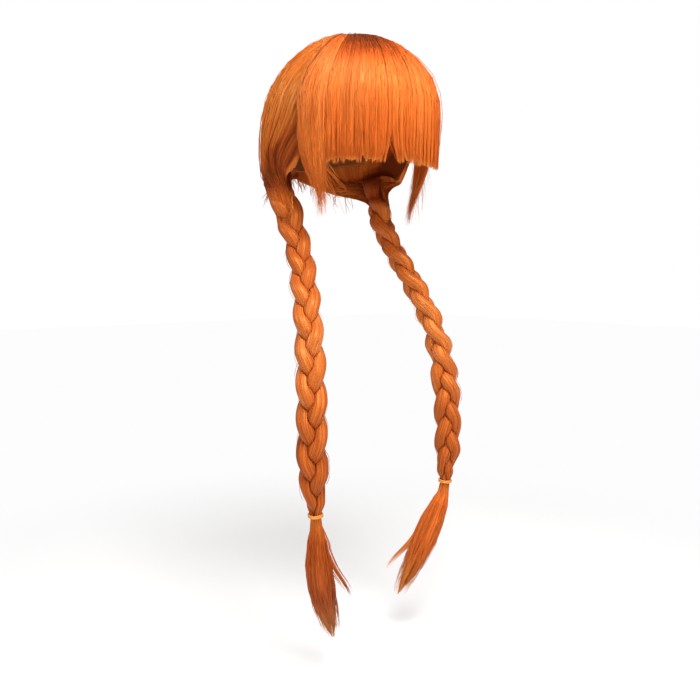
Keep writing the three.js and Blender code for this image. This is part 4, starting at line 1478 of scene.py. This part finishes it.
def swept_fibres(side):
    count, length, wisp_count = SWEPT["fibres"], SWEPT["points"], SWEPT["wisps"]
    u = spread_shares(count)
    number, drawn = wisps(u, wisp_count, SWEPT_WISP["pull"])
    whole = rng.random(count) < SWEPT_WHOLE["share"]
    depth = either(whole, SWEPT_WHOLE["depths"], SWEPT_OTHER["depths"])
    start = either(whole, SWEPT_WHOLE["starts"], SWEPT_OTHER["starts"])
    end = rng.uniform(*SWEPT_ENDS["at"], count)
    v = start[:, None] + (end - start)[:, None] * np.linspace(0, 1, length)[None, :]
    lean = by_wisp(number, wisp_count, SWEPT_WISP["lean"])
    middle = np.sin(np.pi * np.clip(v, 0, 1))
    across = u[:, None] + drawn[:, None] * middle + lean[:, None] * middle
    across = np.clip(across + wobble(count, length, SWEPT_STRAY["sideways"]), 0.0, 1.0)
    crest = by_wisp(number, wisp_count, SWEPT_WISP["crest"])
    lift = crest[:, None] * middle + wobble(count, length, SWEPT_STRAY["up"])
    lift = lift + flyaway(count, length, SWEPT_AWAY["share"], SWEPT_AWAY["by"])
    sinks = rng.uniform(*SWEPT_ENDS["sink"], (count, 1))
    paths = swept_paths(side, across, v, np.broadcast_to(depth[:, None], v.shape), lift, sinks)
    at_nape = (u > NAPE["from"]) & (rng.random(count) < NAPE["share"])
    paths = np.where(at_nape[:, None, None], nape_hairs(side, count, length), paths)
    # Painted shade on the fibres that lie deep in the hair.
    inside = INSIDE_PAINTED_SHADE * (1 - ease(depth, *LIT_DEPTHS))
    shades = (mixed_shades(number, wisp_count, SWEPT_TONE["middle"], SWEPT_TONE["spread"]) - inside)[:, None]
    # The painted sheen band of the crown, and the hollow's painted shade.
    shades = shades + painted_sheen_and_shade(0.0, flow_at(across, np.minimum(v, 1.0))[1]) - painted_hollow_shade(paths)
    shades = shades - GATHER_END["shade"] * ease(v, *GATHER_END["shade_over"])
    width = fibre_width(count, length, SWEPT["half"], root=SWEPT["root"], tip=SWEPT["tip"])
    return paths, width, np.clip(shades, 0, SHADES - 1), swept_along(v)


for side in (RIGHT, LEFT):
    swept = comb(f"swept_hair_{WORDS[side]}_hair", swept_under(side), *swept_fibres(side), swept_fibre_painted_sheen)
    place(swept, f"swept_hair_{WORDS[side]}", "hair")

# %% [markdown]
# The plaits
#
# In a three-strand plait each strand swings from side to side once while it weaves from front to back
# twice, a third of a turn behind the next. In every cross-section a strand is an ellipse pressed flat
# where it meets the other two. A woven texture on a plain rope would have no lobes in its outline, so
# each strand is its own mesh, with ridges along it for the fibres and loose ones standing off it.

# %% Skin of a strand
# Where strands press on each other: the gap that stays between them, the least share by which a strand's
# skin faces the other one to be pressed by it, and the limit elsewhere, which is far away.
PRESSED = {"gap": 0.25, "faces": 0.02, "far": 1e3}


def strand_surface(side, strand, along, angle, extra):
    # Points on a strand's skin, at shares of the plait's length and angles round the strand.
    along, angle, extra = np.broadcast_arrays(along, angle, extra)
    middle, wide, deep, _ = plait_frame(side, along)
    girth = eased(PLAIT_ALONG, PLAIT_GIRTH, along)
    turns = plait_turns(side, along)
    own = strand_centre(strand, turns, girth)
    way = np.stack([np.cos(angle), np.sin(angle)], axis=-1)
    reach = girth / np.hypot(way[..., 0] / PLAIT["wide"], way[..., 1] / PLAIT["deep"])
    sharp = PLAIT["sharp"]
    for other in (1, 2):
        apart = strand_centre((strand + other) % STRANDS, turns, girth) - own
        distance = np.linalg.norm(apart, axis=-1)
        towards = np.sum(way * apart, axis=-1) / distance
        limit = (distance - PRESSED["gap"]) / 2 / np.maximum(towards, PRESSED["faces"])
        pressed = np.where(towards > PRESSED["faces"], limit, PRESSED["far"])
        reach = -np.log(np.exp(-sharp * reach) + np.exp(-sharp * pressed)) / sharp
    spot = own + way * (reach + extra)[..., None]
    return middle + wide * spot[..., :1] + deep * spot[..., 1:]


print("strands stay", PRESSED["gap"], "mm apart")

# %% Body of a strand
# The sides of a strand's rings, and the millimetres from ring to ring.
PLAIT_GRID = {"sides": 72, "step": 2.2}
# Ridges along a strand: their height, how many times they change, and the share of the length at the tie
# over which they die out. And its shade numbers.
STRAND_RIDGE = {"height": 0.2, "changes": 3, "dies_over": 0.1}
STRAND_TONE = {"middle": 34, "spread": 9}
# Painted light and shade along the plait, in shade numbers to add: painted palest where it turns out over
# the shoulder, painted shade where it lies under other hair, and darker towards the tie.
TONE_ALONG = [0.0, 0.2, 0.3, 0.4, 0.52, 0.64, 0.76, 0.88, 1.0]
PAINTED_LIGHT_ALONG = [-4, -10, -4, 8, 8, -1, -17, -20, -24]


def plait_strand(side, strand):
    sides = PLAIT_GRID["sides"]
    rings = int(plait_lines[side].length * (1.0 - PLAIT_ALONG[0]) / PLAIT_GRID["step"])
    along = np.linspace(PLAIT_ALONG[0], 1.0, rings + 1)
    angle = np.linspace(0, 2 * np.pi, sides, endpoint=False)
    ridge = rng.normal(0, STRAND_RIDGE["height"], sides)
    second = rng.normal(0, STRAND_RIDGE["height"], sides)
    turn = 2 * np.pi * along[:, None] * STRAND_RIDGE["changes"]
    relief = ridge[None, :] * np.cos(turn) + second[None, :] * np.sin(turn)
    relief = relief * ease(1 - along, 0, STRAND_RIDGE["dies_over"])[:, None]
    points = strand_surface(side, strand, along[:, None], angle[None, :], relief)
    shades = rng.normal(STRAND_TONE["middle"], STRAND_TONE["spread"], sides)
    # Painted light and shade along the plait.
    shades = whole_shades(shades + eased(TONE_ALONG, PAINTED_LIGHT_ALONG, along[:-1])[:, None])
    return streaked_tube(f"plait_{WORDS[side]}_{strand}_body", points, np.clip(along, 0, 1), shades)


print("a strand has", PLAIT_GRID["sides"], "sides")

# %% Plait strands
# Loose fibres on a strand: where they start and end, how long they are as shares of the plait's length, the
# turn they make round it, how far they stand off in millimetres, and how much of an arch they make.
STRAY = {"fibres": 70, "points": 9, "half": 0.26, "middle": 42, "spread": 10}
STRAY_WAY = {"starts": (0.0, 0.93), "long": (0.03, 0.09), "last": 0.985, "turn": 0.25}
STRAY_ARCH = {"stand": (0.2, 2.6), "share": (0.5, 1.0), "off": 0.1}


def stray_fibres(side, strand):
    count, length = STRAY["fibres"], STRAY["points"]
    start = rng.uniform(*STRAY_WAY["starts"], count)
    reach_along = rng.uniform(*STRAY_WAY["long"], count)
    s = np.linspace(0, 1, length)[None, :]
    along = np.clip(start[:, None] + reach_along[:, None] * s, 0, STRAY_WAY["last"])
    angle = rng.uniform(0, 2 * np.pi, count)[:, None] + rng.normal(0, STRAY_WAY["turn"], count)[:, None] * s
    stand = rng.uniform(*STRAY_ARCH["stand"], count)[:, None]
    stand = stand * np.sin(np.pi * s * rng.uniform(*STRAY_ARCH["share"], (count, 1)))
    paths = strand_surface(side, strand, along, angle, stand + STRAY_ARCH["off"])
    # Painted light and shade along the plait.
    shades = rng.normal(STRAY["middle"], STRAY["spread"], count) + eased(TONE_ALONG, PAINTED_LIGHT_ALONG, start)
    return paths, fibre_width(count, length, STRAY["half"]), whole_shades(shades), along


for side in (RIGHT, LEFT):
    for strand in range(STRANDS):
        name = f"plait_{WORDS[side]}_strand_{strand + 1}"
        piece = comb(f"{name}_hair", plait_strand(side, strand), *stray_fibres(side, strand), plait_fibre)
        place(piece, name, "hair")

# %% [markdown]
# The tails
#
# Below the tie the hair is loose: it leaves the tie in a tight round bunch, swells, and thins to
# ragged points, with one stray lock. The fibres are spread through an oval section that follows the
# tail's width, and draw together into wisps towards their ends.

# %% Line and section of a tail
# The points of a tail's line below the tie, after two that carry the plait's line on by these lengths.
TAIL_LINE = {
    RIGHT: [(100, -64, -550), (87, -56, -605), (60, -42, -670)],
    LEFT: [(91, -61, -545), (71, -50, -597), (52, -34, -652)],
}
TAIL_CARRIED_ON = (0.4, 9.0)
# Half the tail's width along it, how deep it is for its width, and the turn of its broad way in degrees.
TAIL_ALONG = [0.0, 0.06, 0.2, 0.35, 0.5, 0.66, 0.82, 1.0]
TAIL_HALF = [5.2, 5.8, 10.8, 14.6, 15.0, 12.6, 8.4, 2.5]
TAIL_OVAL = {"deep": 0.72, "turn": -40.0}


def tail_line(side):
    end, _, _, tangent = plait_frame(side, 1.0)
    rest = np.array(TAIL_LINE[side], float) * [side, 1, 1]
    return Line([*(end + tangent * length for length in TAIL_CARRIED_ON), *rest])


def tail_axes(line, along):
    tangent = line.tangent(along)
    turn = np.radians(TAIL_OVAL["turn"])
    wide = np.array([np.cos(turn), np.sin(turn), 0.0])
    wide = unit(wide - tangent * np.sum(wide * tangent, axis=-1, keepdims=True))
    return wide, np.cross(wide, tangent)


def tail_half(along):
    return eased(TAIL_ALONG, TAIL_HALF, along)


print("a tail is up to", 2 * max(TAIL_HALF), "mm wide")

# %% Tail under-layer
# The middle of each tail's shade numbers: painted shade darkens the right tail, and painted light lightens
# the left.
TAIL_PAINTED_LIGHT = {RIGHT: 24.0, LEFT: 48.0}
# The under-layer is a little slimmer than the tail, and slimmer still towards its end, where it stops short.
TAIL_UNDER = {
    "rows": 30,
    "sides": 84,
    "ends": 0.86,
    "slim": 0.93,
    "thins": 0.6,
    "thins_from": 0.45,
    "darker": 4,
    "spread": 6,
}
TAIL_RIDGES = [(9, 0.07, 2), (3, 0.05, 2), (1, 0.025, 2)]


def tail_under(side):
    line = tail_line(side)
    rows, sides = TAIL_UNDER["rows"], TAIL_UNDER["sides"]
    along = np.linspace(0.0, TAIL_UNDER["ends"], rows + 1)
    wide, deep = tail_axes(line, along)
    angle = np.linspace(0, 2 * np.pi, sides, endpoint=False)
    relief = combed_relief(sides - 1, rows, TAIL_RIDGES)
    thinned = TAIL_UNDER["thins"] * ease(along, TAIL_UNDER["thins_from"], TAIL_UNDER["ends"])
    radius = (tail_half(along) * (TAIL_UNDER["slim"] - thinned))[:, None] * (1 + relief)
    points = (
        line.at(along)[:, None, :]
        + wide[:, None, :] * (radius * np.cos(angle))[..., None]
        + deep[:, None, :] * (TAIL_OVAL["deep"] * radius * np.sin(angle))[..., None]
    )
    # The tail's painted light and shade set the middle of its shade numbers.
    shades = rng.normal(TAIL_PAINTED_LIGHT[side] - TAIL_UNDER["darker"], TAIL_UNDER["spread"], sides)
    return streaked_tube(f"tail_{WORDS[side]}_under", points, along, whole_shades(shades))


print("tail under-layer", TAIL_UNDER["sides"], "columns by", TAIL_UNDER["rows"], "rows")

# %% Tails
TAIL = {"fibres": 1200, "points": 10, "wisps": 13, "half": 0.38, "root": 0.8, "tip": 0.15, "spread": 7.0}
# The fibres crowd towards the tail's skin. Each wisp's middle lies at a share of the way out, its fibres
# are drawn to it from a share of the way down, and it ends near the tail's end, some fibres before it.
TAIL_WISP = {"crowd": 0.3, "out": (0.35, 0.95), "drawn": 0.65, "drawn_from": 0.45, "wander": 0.4}
TAIL_ENDS = {"at": (0.88, 1.02), "shorter": 0.3, "power": 2.5}
# The share of a tail's fibres whose ends flare out to its edges, how far at most, and from where.
TAIL_FLARE = {"share": 0.12, "reach": 8.0, "from": 0.3, "power": 1.5}
# The stray lock that stands out from each tail: its way across, where it leaves and ends, and its reach.
TAIL_STRAY = {RIGHT: (1.0, 0.2, 0.62, 19.0), LEFT: (-1.0, 0.4, 0.86, 16.0)}
# The share of the fibres that are in the stray lock, how much of its way they run, how slowly it bends
# away, how far its fibres have spread where it leaves, and the shade numbers it gains. It follows the
# tail's edge until a little past there: how far past, and its places across the tail and in its depth.
STRAY_LOCK = {"share": 0.035, "runs": (0.8, 1.0), "power": 1.3, "spread": 2.0, "shade": 16.0}
STRAY_EDGE = {"past": 0.1, "across": 0.8, "deep": 0.25}


def tail_fibres(side):
    line = tail_line(side)
    count, length, wisp_count = TAIL["fibres"], TAIL["points"], TAIL["wisps"]
    spin = rng.uniform(0, 2 * np.pi, count)
    within = rng.random(count) ** TAIL_WISP["crowd"]
    spot = np.stack([within * np.cos(spin), within * np.sin(spin)], axis=-1)
    turn = rng.uniform(0, 2 * np.pi, wisp_count)
    out = rng.uniform(*TAIL_WISP["out"], (wisp_count, 1))
    middle = np.stack([np.cos(turn), np.sin(turn)], axis=-1) * out
    number = np.argmin(np.linalg.norm(spot[:, None, :] - middle[None, :, :], axis=-1), axis=1)
    ends = rng.uniform(*TAIL_ENDS["at"], wisp_count)[number]
    ends = ends * (1 - TAIL_ENDS["shorter"] * rng.random(count) ** TAIL_ENDS["power"])
    along = ends[:, None] * np.linspace(0, 1, length)[None, :]
    drawn = TAIL_WISP["drawn"] * ease(along, TAIL_WISP["drawn_from"], 1.0)[..., None]
    across = spot[:, None, :] + (middle[number] - spot)[:, None, :] * drawn
    half = tail_half(along)
    offset_wide = across[..., 0] * half + wobble(count, length, TAIL_WISP["wander"])
    offset_deep = across[..., 1] * half * TAIL_OVAL["deep"] + wobble(count, length, TAIL_WISP["wander"])
    flare = some(count, TAIL_FLARE["share"], 0, TAIL_FLARE["reach"])[:, None] * np.sign(spot[:, :1])
    offset_wide = offset_wide + flare * ease(along, TAIL_FLARE["from"], 1.0) ** TAIL_FLARE["power"]
    way, leaves, stops, stands = TAIL_STRAY[side]
    strays = (np.arange(count) < STRAY_LOCK["share"] * count)[:, None]
    stray_along = along * (stops / ends)[:, None] * rng.uniform(*STRAY_LOCK["runs"], (count, 1))
    along = np.where(strays, stray_along, along)
    bent = stands * ease(along, leaves, stops) ** STRAY_LOCK["power"]
    spread = STRAY_LOCK["spread"] * rng.normal(0, 1, (count, 1)) * ease(along, 0, leaves)
    edge = way * tail_half(np.minimum(along, leaves + STRAY_EDGE["past"])) * STRAY_EDGE["across"]
    offset_wide = np.where(strays, edge + way * (bent + spread), offset_wide)
    offset_deep = np.where(strays, STRAY_EDGE["deep"] * offset_deep, offset_deep)
    wide, deep = tail_axes(line, along)
    paths = line.at(along) + wide * offset_wide[..., None] + deep * offset_deep[..., None]
    # The tail's painted light and shade set the middle of its shade numbers.
    shades = mixed_shades(number, wisp_count, TAIL_PAINTED_LIGHT[side], TAIL["spread"])
    shades = whole_shades(shades + STRAY_LOCK["shade"] * strays[:, 0])
    return paths, fibre_width(count, length, TAIL["half"], root=TAIL["root"], tip=TAIL["tip"]), shades, along


for side in (RIGHT, LEFT):
    tail = comb(f"tail_{WORDS[side]}_hair", tail_under(side), *tail_fibres(side), tail_fibre)
    place(tail, f"tail_{WORDS[side]}", "hair")

# %% [markdown]
# The ties
#
# A covered elastic is wound twice round the end of the plait. Its turns lie side by side and are a
# little uneven. Each turn is a tube along a path, and the woven cover is a fine rib across it.

# %% Tie material
# The ribs' spacing in millimetres. A wave texture turns by this many radians for each unit of its scale.
THREAD_RIB = 0.7
WAVE_TURN = 20
RIB_SCALE = 2 * np.pi / WAVE_TURN / THREAD_RIB
elastic_cover, tree = new_material("woven_covered_elastic")
flow = node(tree, "ShaderNodeUVMap", uv_map="thread_length")
# Gives the eye a dull thread with fine slanting ribs. The real ribs are about 0.3 mm apart, and they
# are drawn at 0.7 mm so that they show.
rib = node(
    tree,
    "ShaderNodeTexWave",
    {"Vector": flow.outputs["UV"], "Scale": RIB_SCALE, "Distortion": 0.6, "Detail": 1.0},
    wave_type="BANDS",
    bands_direction="DIAGONAL",
)
thread_colour = node(tree, "ShaderNodeValToRGB", {"Fac": rib.outputs["Fac"]})
fill_ramp(thread_colour.color_ramp, [(0.0, "#b8631c"), (1.0, "#eda043")])
relief = node(tree, "ShaderNodeBump", {"Height": rib.outputs["Fac"], "Strength": 0.5, "Distance": 0.2 * MM})
cover = node(
    tree,
    "ShaderNodeBsdfPrincipled",
    {"Base Color": thread_colour.outputs["Color"], "Roughness": 0.62, "Normal": relief.outputs["Normal"]},
)
node(tree, "ShaderNodeOutputMaterial", {"Surface": cover.outputs["BSDF"]})
print("rib scale", round(RIB_SCALE, 3), "per millimetre")

# %% Ties
TIE = {"bore": 6.3, "thread": 1.05, "turns": 2, "count": 72, "sides": 12}
# How far a turn strays up and down in waves of its own length and of a third of it, and in and out.
TIE_UNEVEN = {"up": 0.35, "up_third": 0.2, "out": 0.15}
# How much further on the waves start in the second turn than in the first.
TIE_SHIFT = {"up": 2.1, "out": 1.3}


def tie_turn(end, tangent, number):
    # The points of one turn, as rings round its thread.
    across = unit(np.cross(tangent, [0.0, 1.0, 0.0]))
    other = np.cross(tangent, across)
    turn = np.linspace(0, 2 * np.pi, TIE["count"], endpoint=False)
    spin = np.linspace(0, 2 * np.pi, TIE["sides"], endpoint=False)
    level = (number - 0.5 * (TIE["turns"] - 1)) * 2.0 * TIE["thread"]
    wander = TIE_UNEVEN["up"] * np.sin(turn + TIE_SHIFT["up"] * number)
    wander = wander + TIE_UNEVEN["up_third"] * np.sin(3 * turn + number)
    radius = TIE["bore"] + TIE["thread"] + TIE_UNEVEN["out"] * np.sin(2 * turn + TIE_SHIFT["out"] * number)
    out = across * np.cos(turn)[:, None] + other * np.sin(turn)[:, None]
    middle = end + out * radius[:, None] + tangent * (level + wander)[:, None]
    return (
        middle[:, None, :]
        + out[:, None, :] * (TIE["thread"] * np.cos(spin))[None, :, None]
        + tangent * (TIE["thread"] * np.sin(spin))[None, :, None]
    )


def tie(side):
    end, _, _, tangent = plait_frame(side, 1.0)
    count, sides = TIE["count"], TIE["sides"]
    turns = [tie_turn(end, tangent, number).reshape(-1, 3) for number in range(TIE["turns"])]
    points = np.concatenate(turns)
    number = np.arange(len(points)).reshape(TIE["turns"], count, sides)
    ahead = np.roll(number, -1, axis=1)
    beside = np.roll(number, -1, axis=2)
    both = np.roll(ahead, -1, axis=2)
    quads = np.stack([number, beside, both, ahead], axis=-1).reshape(-1, 4)
    # The map has millimetres along the thread and round it.
    run = 2 * np.pi * TIE["bore"] / count
    rise = 2 * np.pi * TIE["thread"] / sides
    k, m = np.meshgrid(np.arange(count), np.arange(sides), indexing="ij")
    spots = [(k, m), (k, m + 1), (k + 1, m + 1), (k + 1, m)]
    corners = np.stack([np.stack([a * run, b * rise], axis=-1) for a, b in spots], axis=-2).reshape(-1, 4, 2)
    corners = np.tile(corners, (TIE["turns"], 1, 1))
    facing = outward(points, quads)
    if facing is not quads:
        corners = corners[:, ::-1]
    piece = mesh_object(f"tie_{WORDS[side]}_elastic", points, facing, {"thread_length": corners})
    piece.data.materials.append(elastic_cover)
    return piece


for side in (RIGHT, LEFT):
    place(tie(side), f"tie_{WORDS[side]}", "elastic")
print("ties of", TIE["turns"], "turns made")

# %% [markdown]
# The net cap
#
# Inside is a stretch net cap with rows of sewn wefts and an elastic hem. Only its underside can be seen,
# from below, so it is made plainly: a fine dome with raised weft rows and a rolled hem, and a knit drawn
# on it by the material.

# %% Cap material
NET_PITCH = 2.4
knit_net, tree = new_material("knitted_stretch_net")
flow = node(tree, "ShaderNodeUVMap", uv_map="cap_knit")
# Gives the eye a dark open net of small cells. The real cells are about 1.2 mm, and they are drawn at
# 2.4 mm so that they show.
cells = node(
    tree,
    "ShaderNodeTexVoronoi",
    {"Vector": flow.outputs["UV"], "Scale": 1.0 / NET_PITCH, "Randomness": 0.25},
    feature="DISTANCE_TO_EDGE",
)
thread = node(tree, "ShaderNodeValToRGB", {"Fac": cells.outputs["Distance"]})
fill_ramp(thread.color_ramp, [(0.0, "#a35a28"), (0.16, "#8a4820"), (0.3, "#5c2c12")])
bump = node(
    tree,
    "ShaderNodeBump",
    {"Height": cells.outputs["Distance"], "Strength": 0.6, "Distance": 0.6 * MM},
    invert=True,
)
net = node(
    tree,
    "ShaderNodeBsdfPrincipled",
    {
        "Base Color": thread.outputs["Color"],
        "Roughness": 0.9,
        "Specular IOR Level": 0.2,
        "Normal": bump.outputs["Normal"],
    },
)
node(tree, "ShaderNodeOutputMaterial", {"Surface": net.outputs["BSDF"]})
print("net cells", NET_PITCH, "mm")

# %% Cap
CAP = {"wall": 1.5, "columns": 120, "rows": 56}
# The level of the cap's edge at azimuths from the face to the nape.
CAP_AZIMUTH = [0, 45, 78, 100, 128, 180]
CAP_LEVEL = [-54, -66, -100, -92, -114, -124]
# Weft rows: their spacing and height, how narrow and how low their wave is cut, and the share of the height
# on the inside. Then the shares of the way down where they begin, and where the outer ones end.
WEFT = {"apart": 9.0, "rise": 0.8, "narrow": 3, "cut": 2, "inside": 0.3}
WEFT_REACH = {"begin": (0.15, 0.3), "end": (0.9, 0.95)}
# The hem: its height inside and the share of it outside, and where it begins.
HEM = {"rise": 1.0, "outside": 0.4, "begins": (0.95, 0.98)}
# The knit is laid flat as a globe of this radius is, round a point this far below the widest level, and no
# direction is shorter than the smallest length.
KNIT = {"below_widest": 30.0, "radius": 110.0, "smallest": 1e-6}


def cap_grids():
    # The points of the cap's outer and inner faces.
    azimuth = np.linspace(-180, 180, CAP["columns"], endpoint=False)[None, :]
    share = np.linspace(0.0, 1.0, CAP["rows"] + 1)[:, None]
    drop = drop_at(eased(CAP_AZIMUTH, CAP_LEVEL, np.abs(azimuth))) * share
    fall = drop * np.pi / 2 * FORM["crown"]
    ridge = np.clip(np.cos(2 * np.pi * fall / WEFT["apart"]) * WEFT["narrow"] - WEFT["cut"], 0, 1)
    weft = WEFT["rise"] * ridge * ease(share, *WEFT_REACH["begin"])
    hem = HEM["rise"] * ease(share, *HEM["begins"])
    raised = CAP["wall"] + weft * (1 - ease(share, *WEFT_REACH["end"])) + HEM["outside"] * hem
    outer = over_form(LEFT, azimuth, drop, raised)
    inner = over_form(LEFT, azimuth, drop, -WEFT["inside"] * weft - hem)
    return outer, inner


def cap_piece():
    outer, inner = cap_grids()
    rows, columns, _ = outer.shape
    points = np.concatenate([outer.reshape(-1, 3), inner.reshape(-1, 3)])
    number = np.arange(rows * columns).reshape(rows, columns)
    below = number + rows * columns
    beside, beside_below = np.roll(number, -1, axis=1), np.roll(below, -1, axis=1)
    faces = [
        np.stack([number[:-1], number[1:], beside[1:], beside[:-1]], axis=-1).reshape(-1, 4),
        np.stack([below[:-1], beside_below[:-1], beside_below[1:], below[1:]], axis=-1).reshape(-1, 4),
        np.stack([number[-1], below[-1], beside_below[-1], beside[-1]], axis=-1).reshape(-1, 4),
    ]
    quads = outward(points, np.concatenate(faces))
    reach = np.linalg.norm(points[:, :2], axis=1)
    polar = np.arctan2(reach, points[:, 2] + FORM["crown"] + KNIT["below_widest"])
    way = points[:, :2] / np.maximum(reach, KNIT["smallest"])[:, None]
    flat = way * (polar * KNIT["radius"])[:, None]
    corners = flat[quads.reshape(-1)].reshape(-1, 4, 2)
    piece = mesh_object("wig_cap_net", points, quads, {"cap_knit": corners})
    close_poles(piece)
    piece.data.materials.append(knit_net)
    return piece


place(cap_piece(), "wig_cap", "net")
print("cap of", CAP["rows"], "rows made")
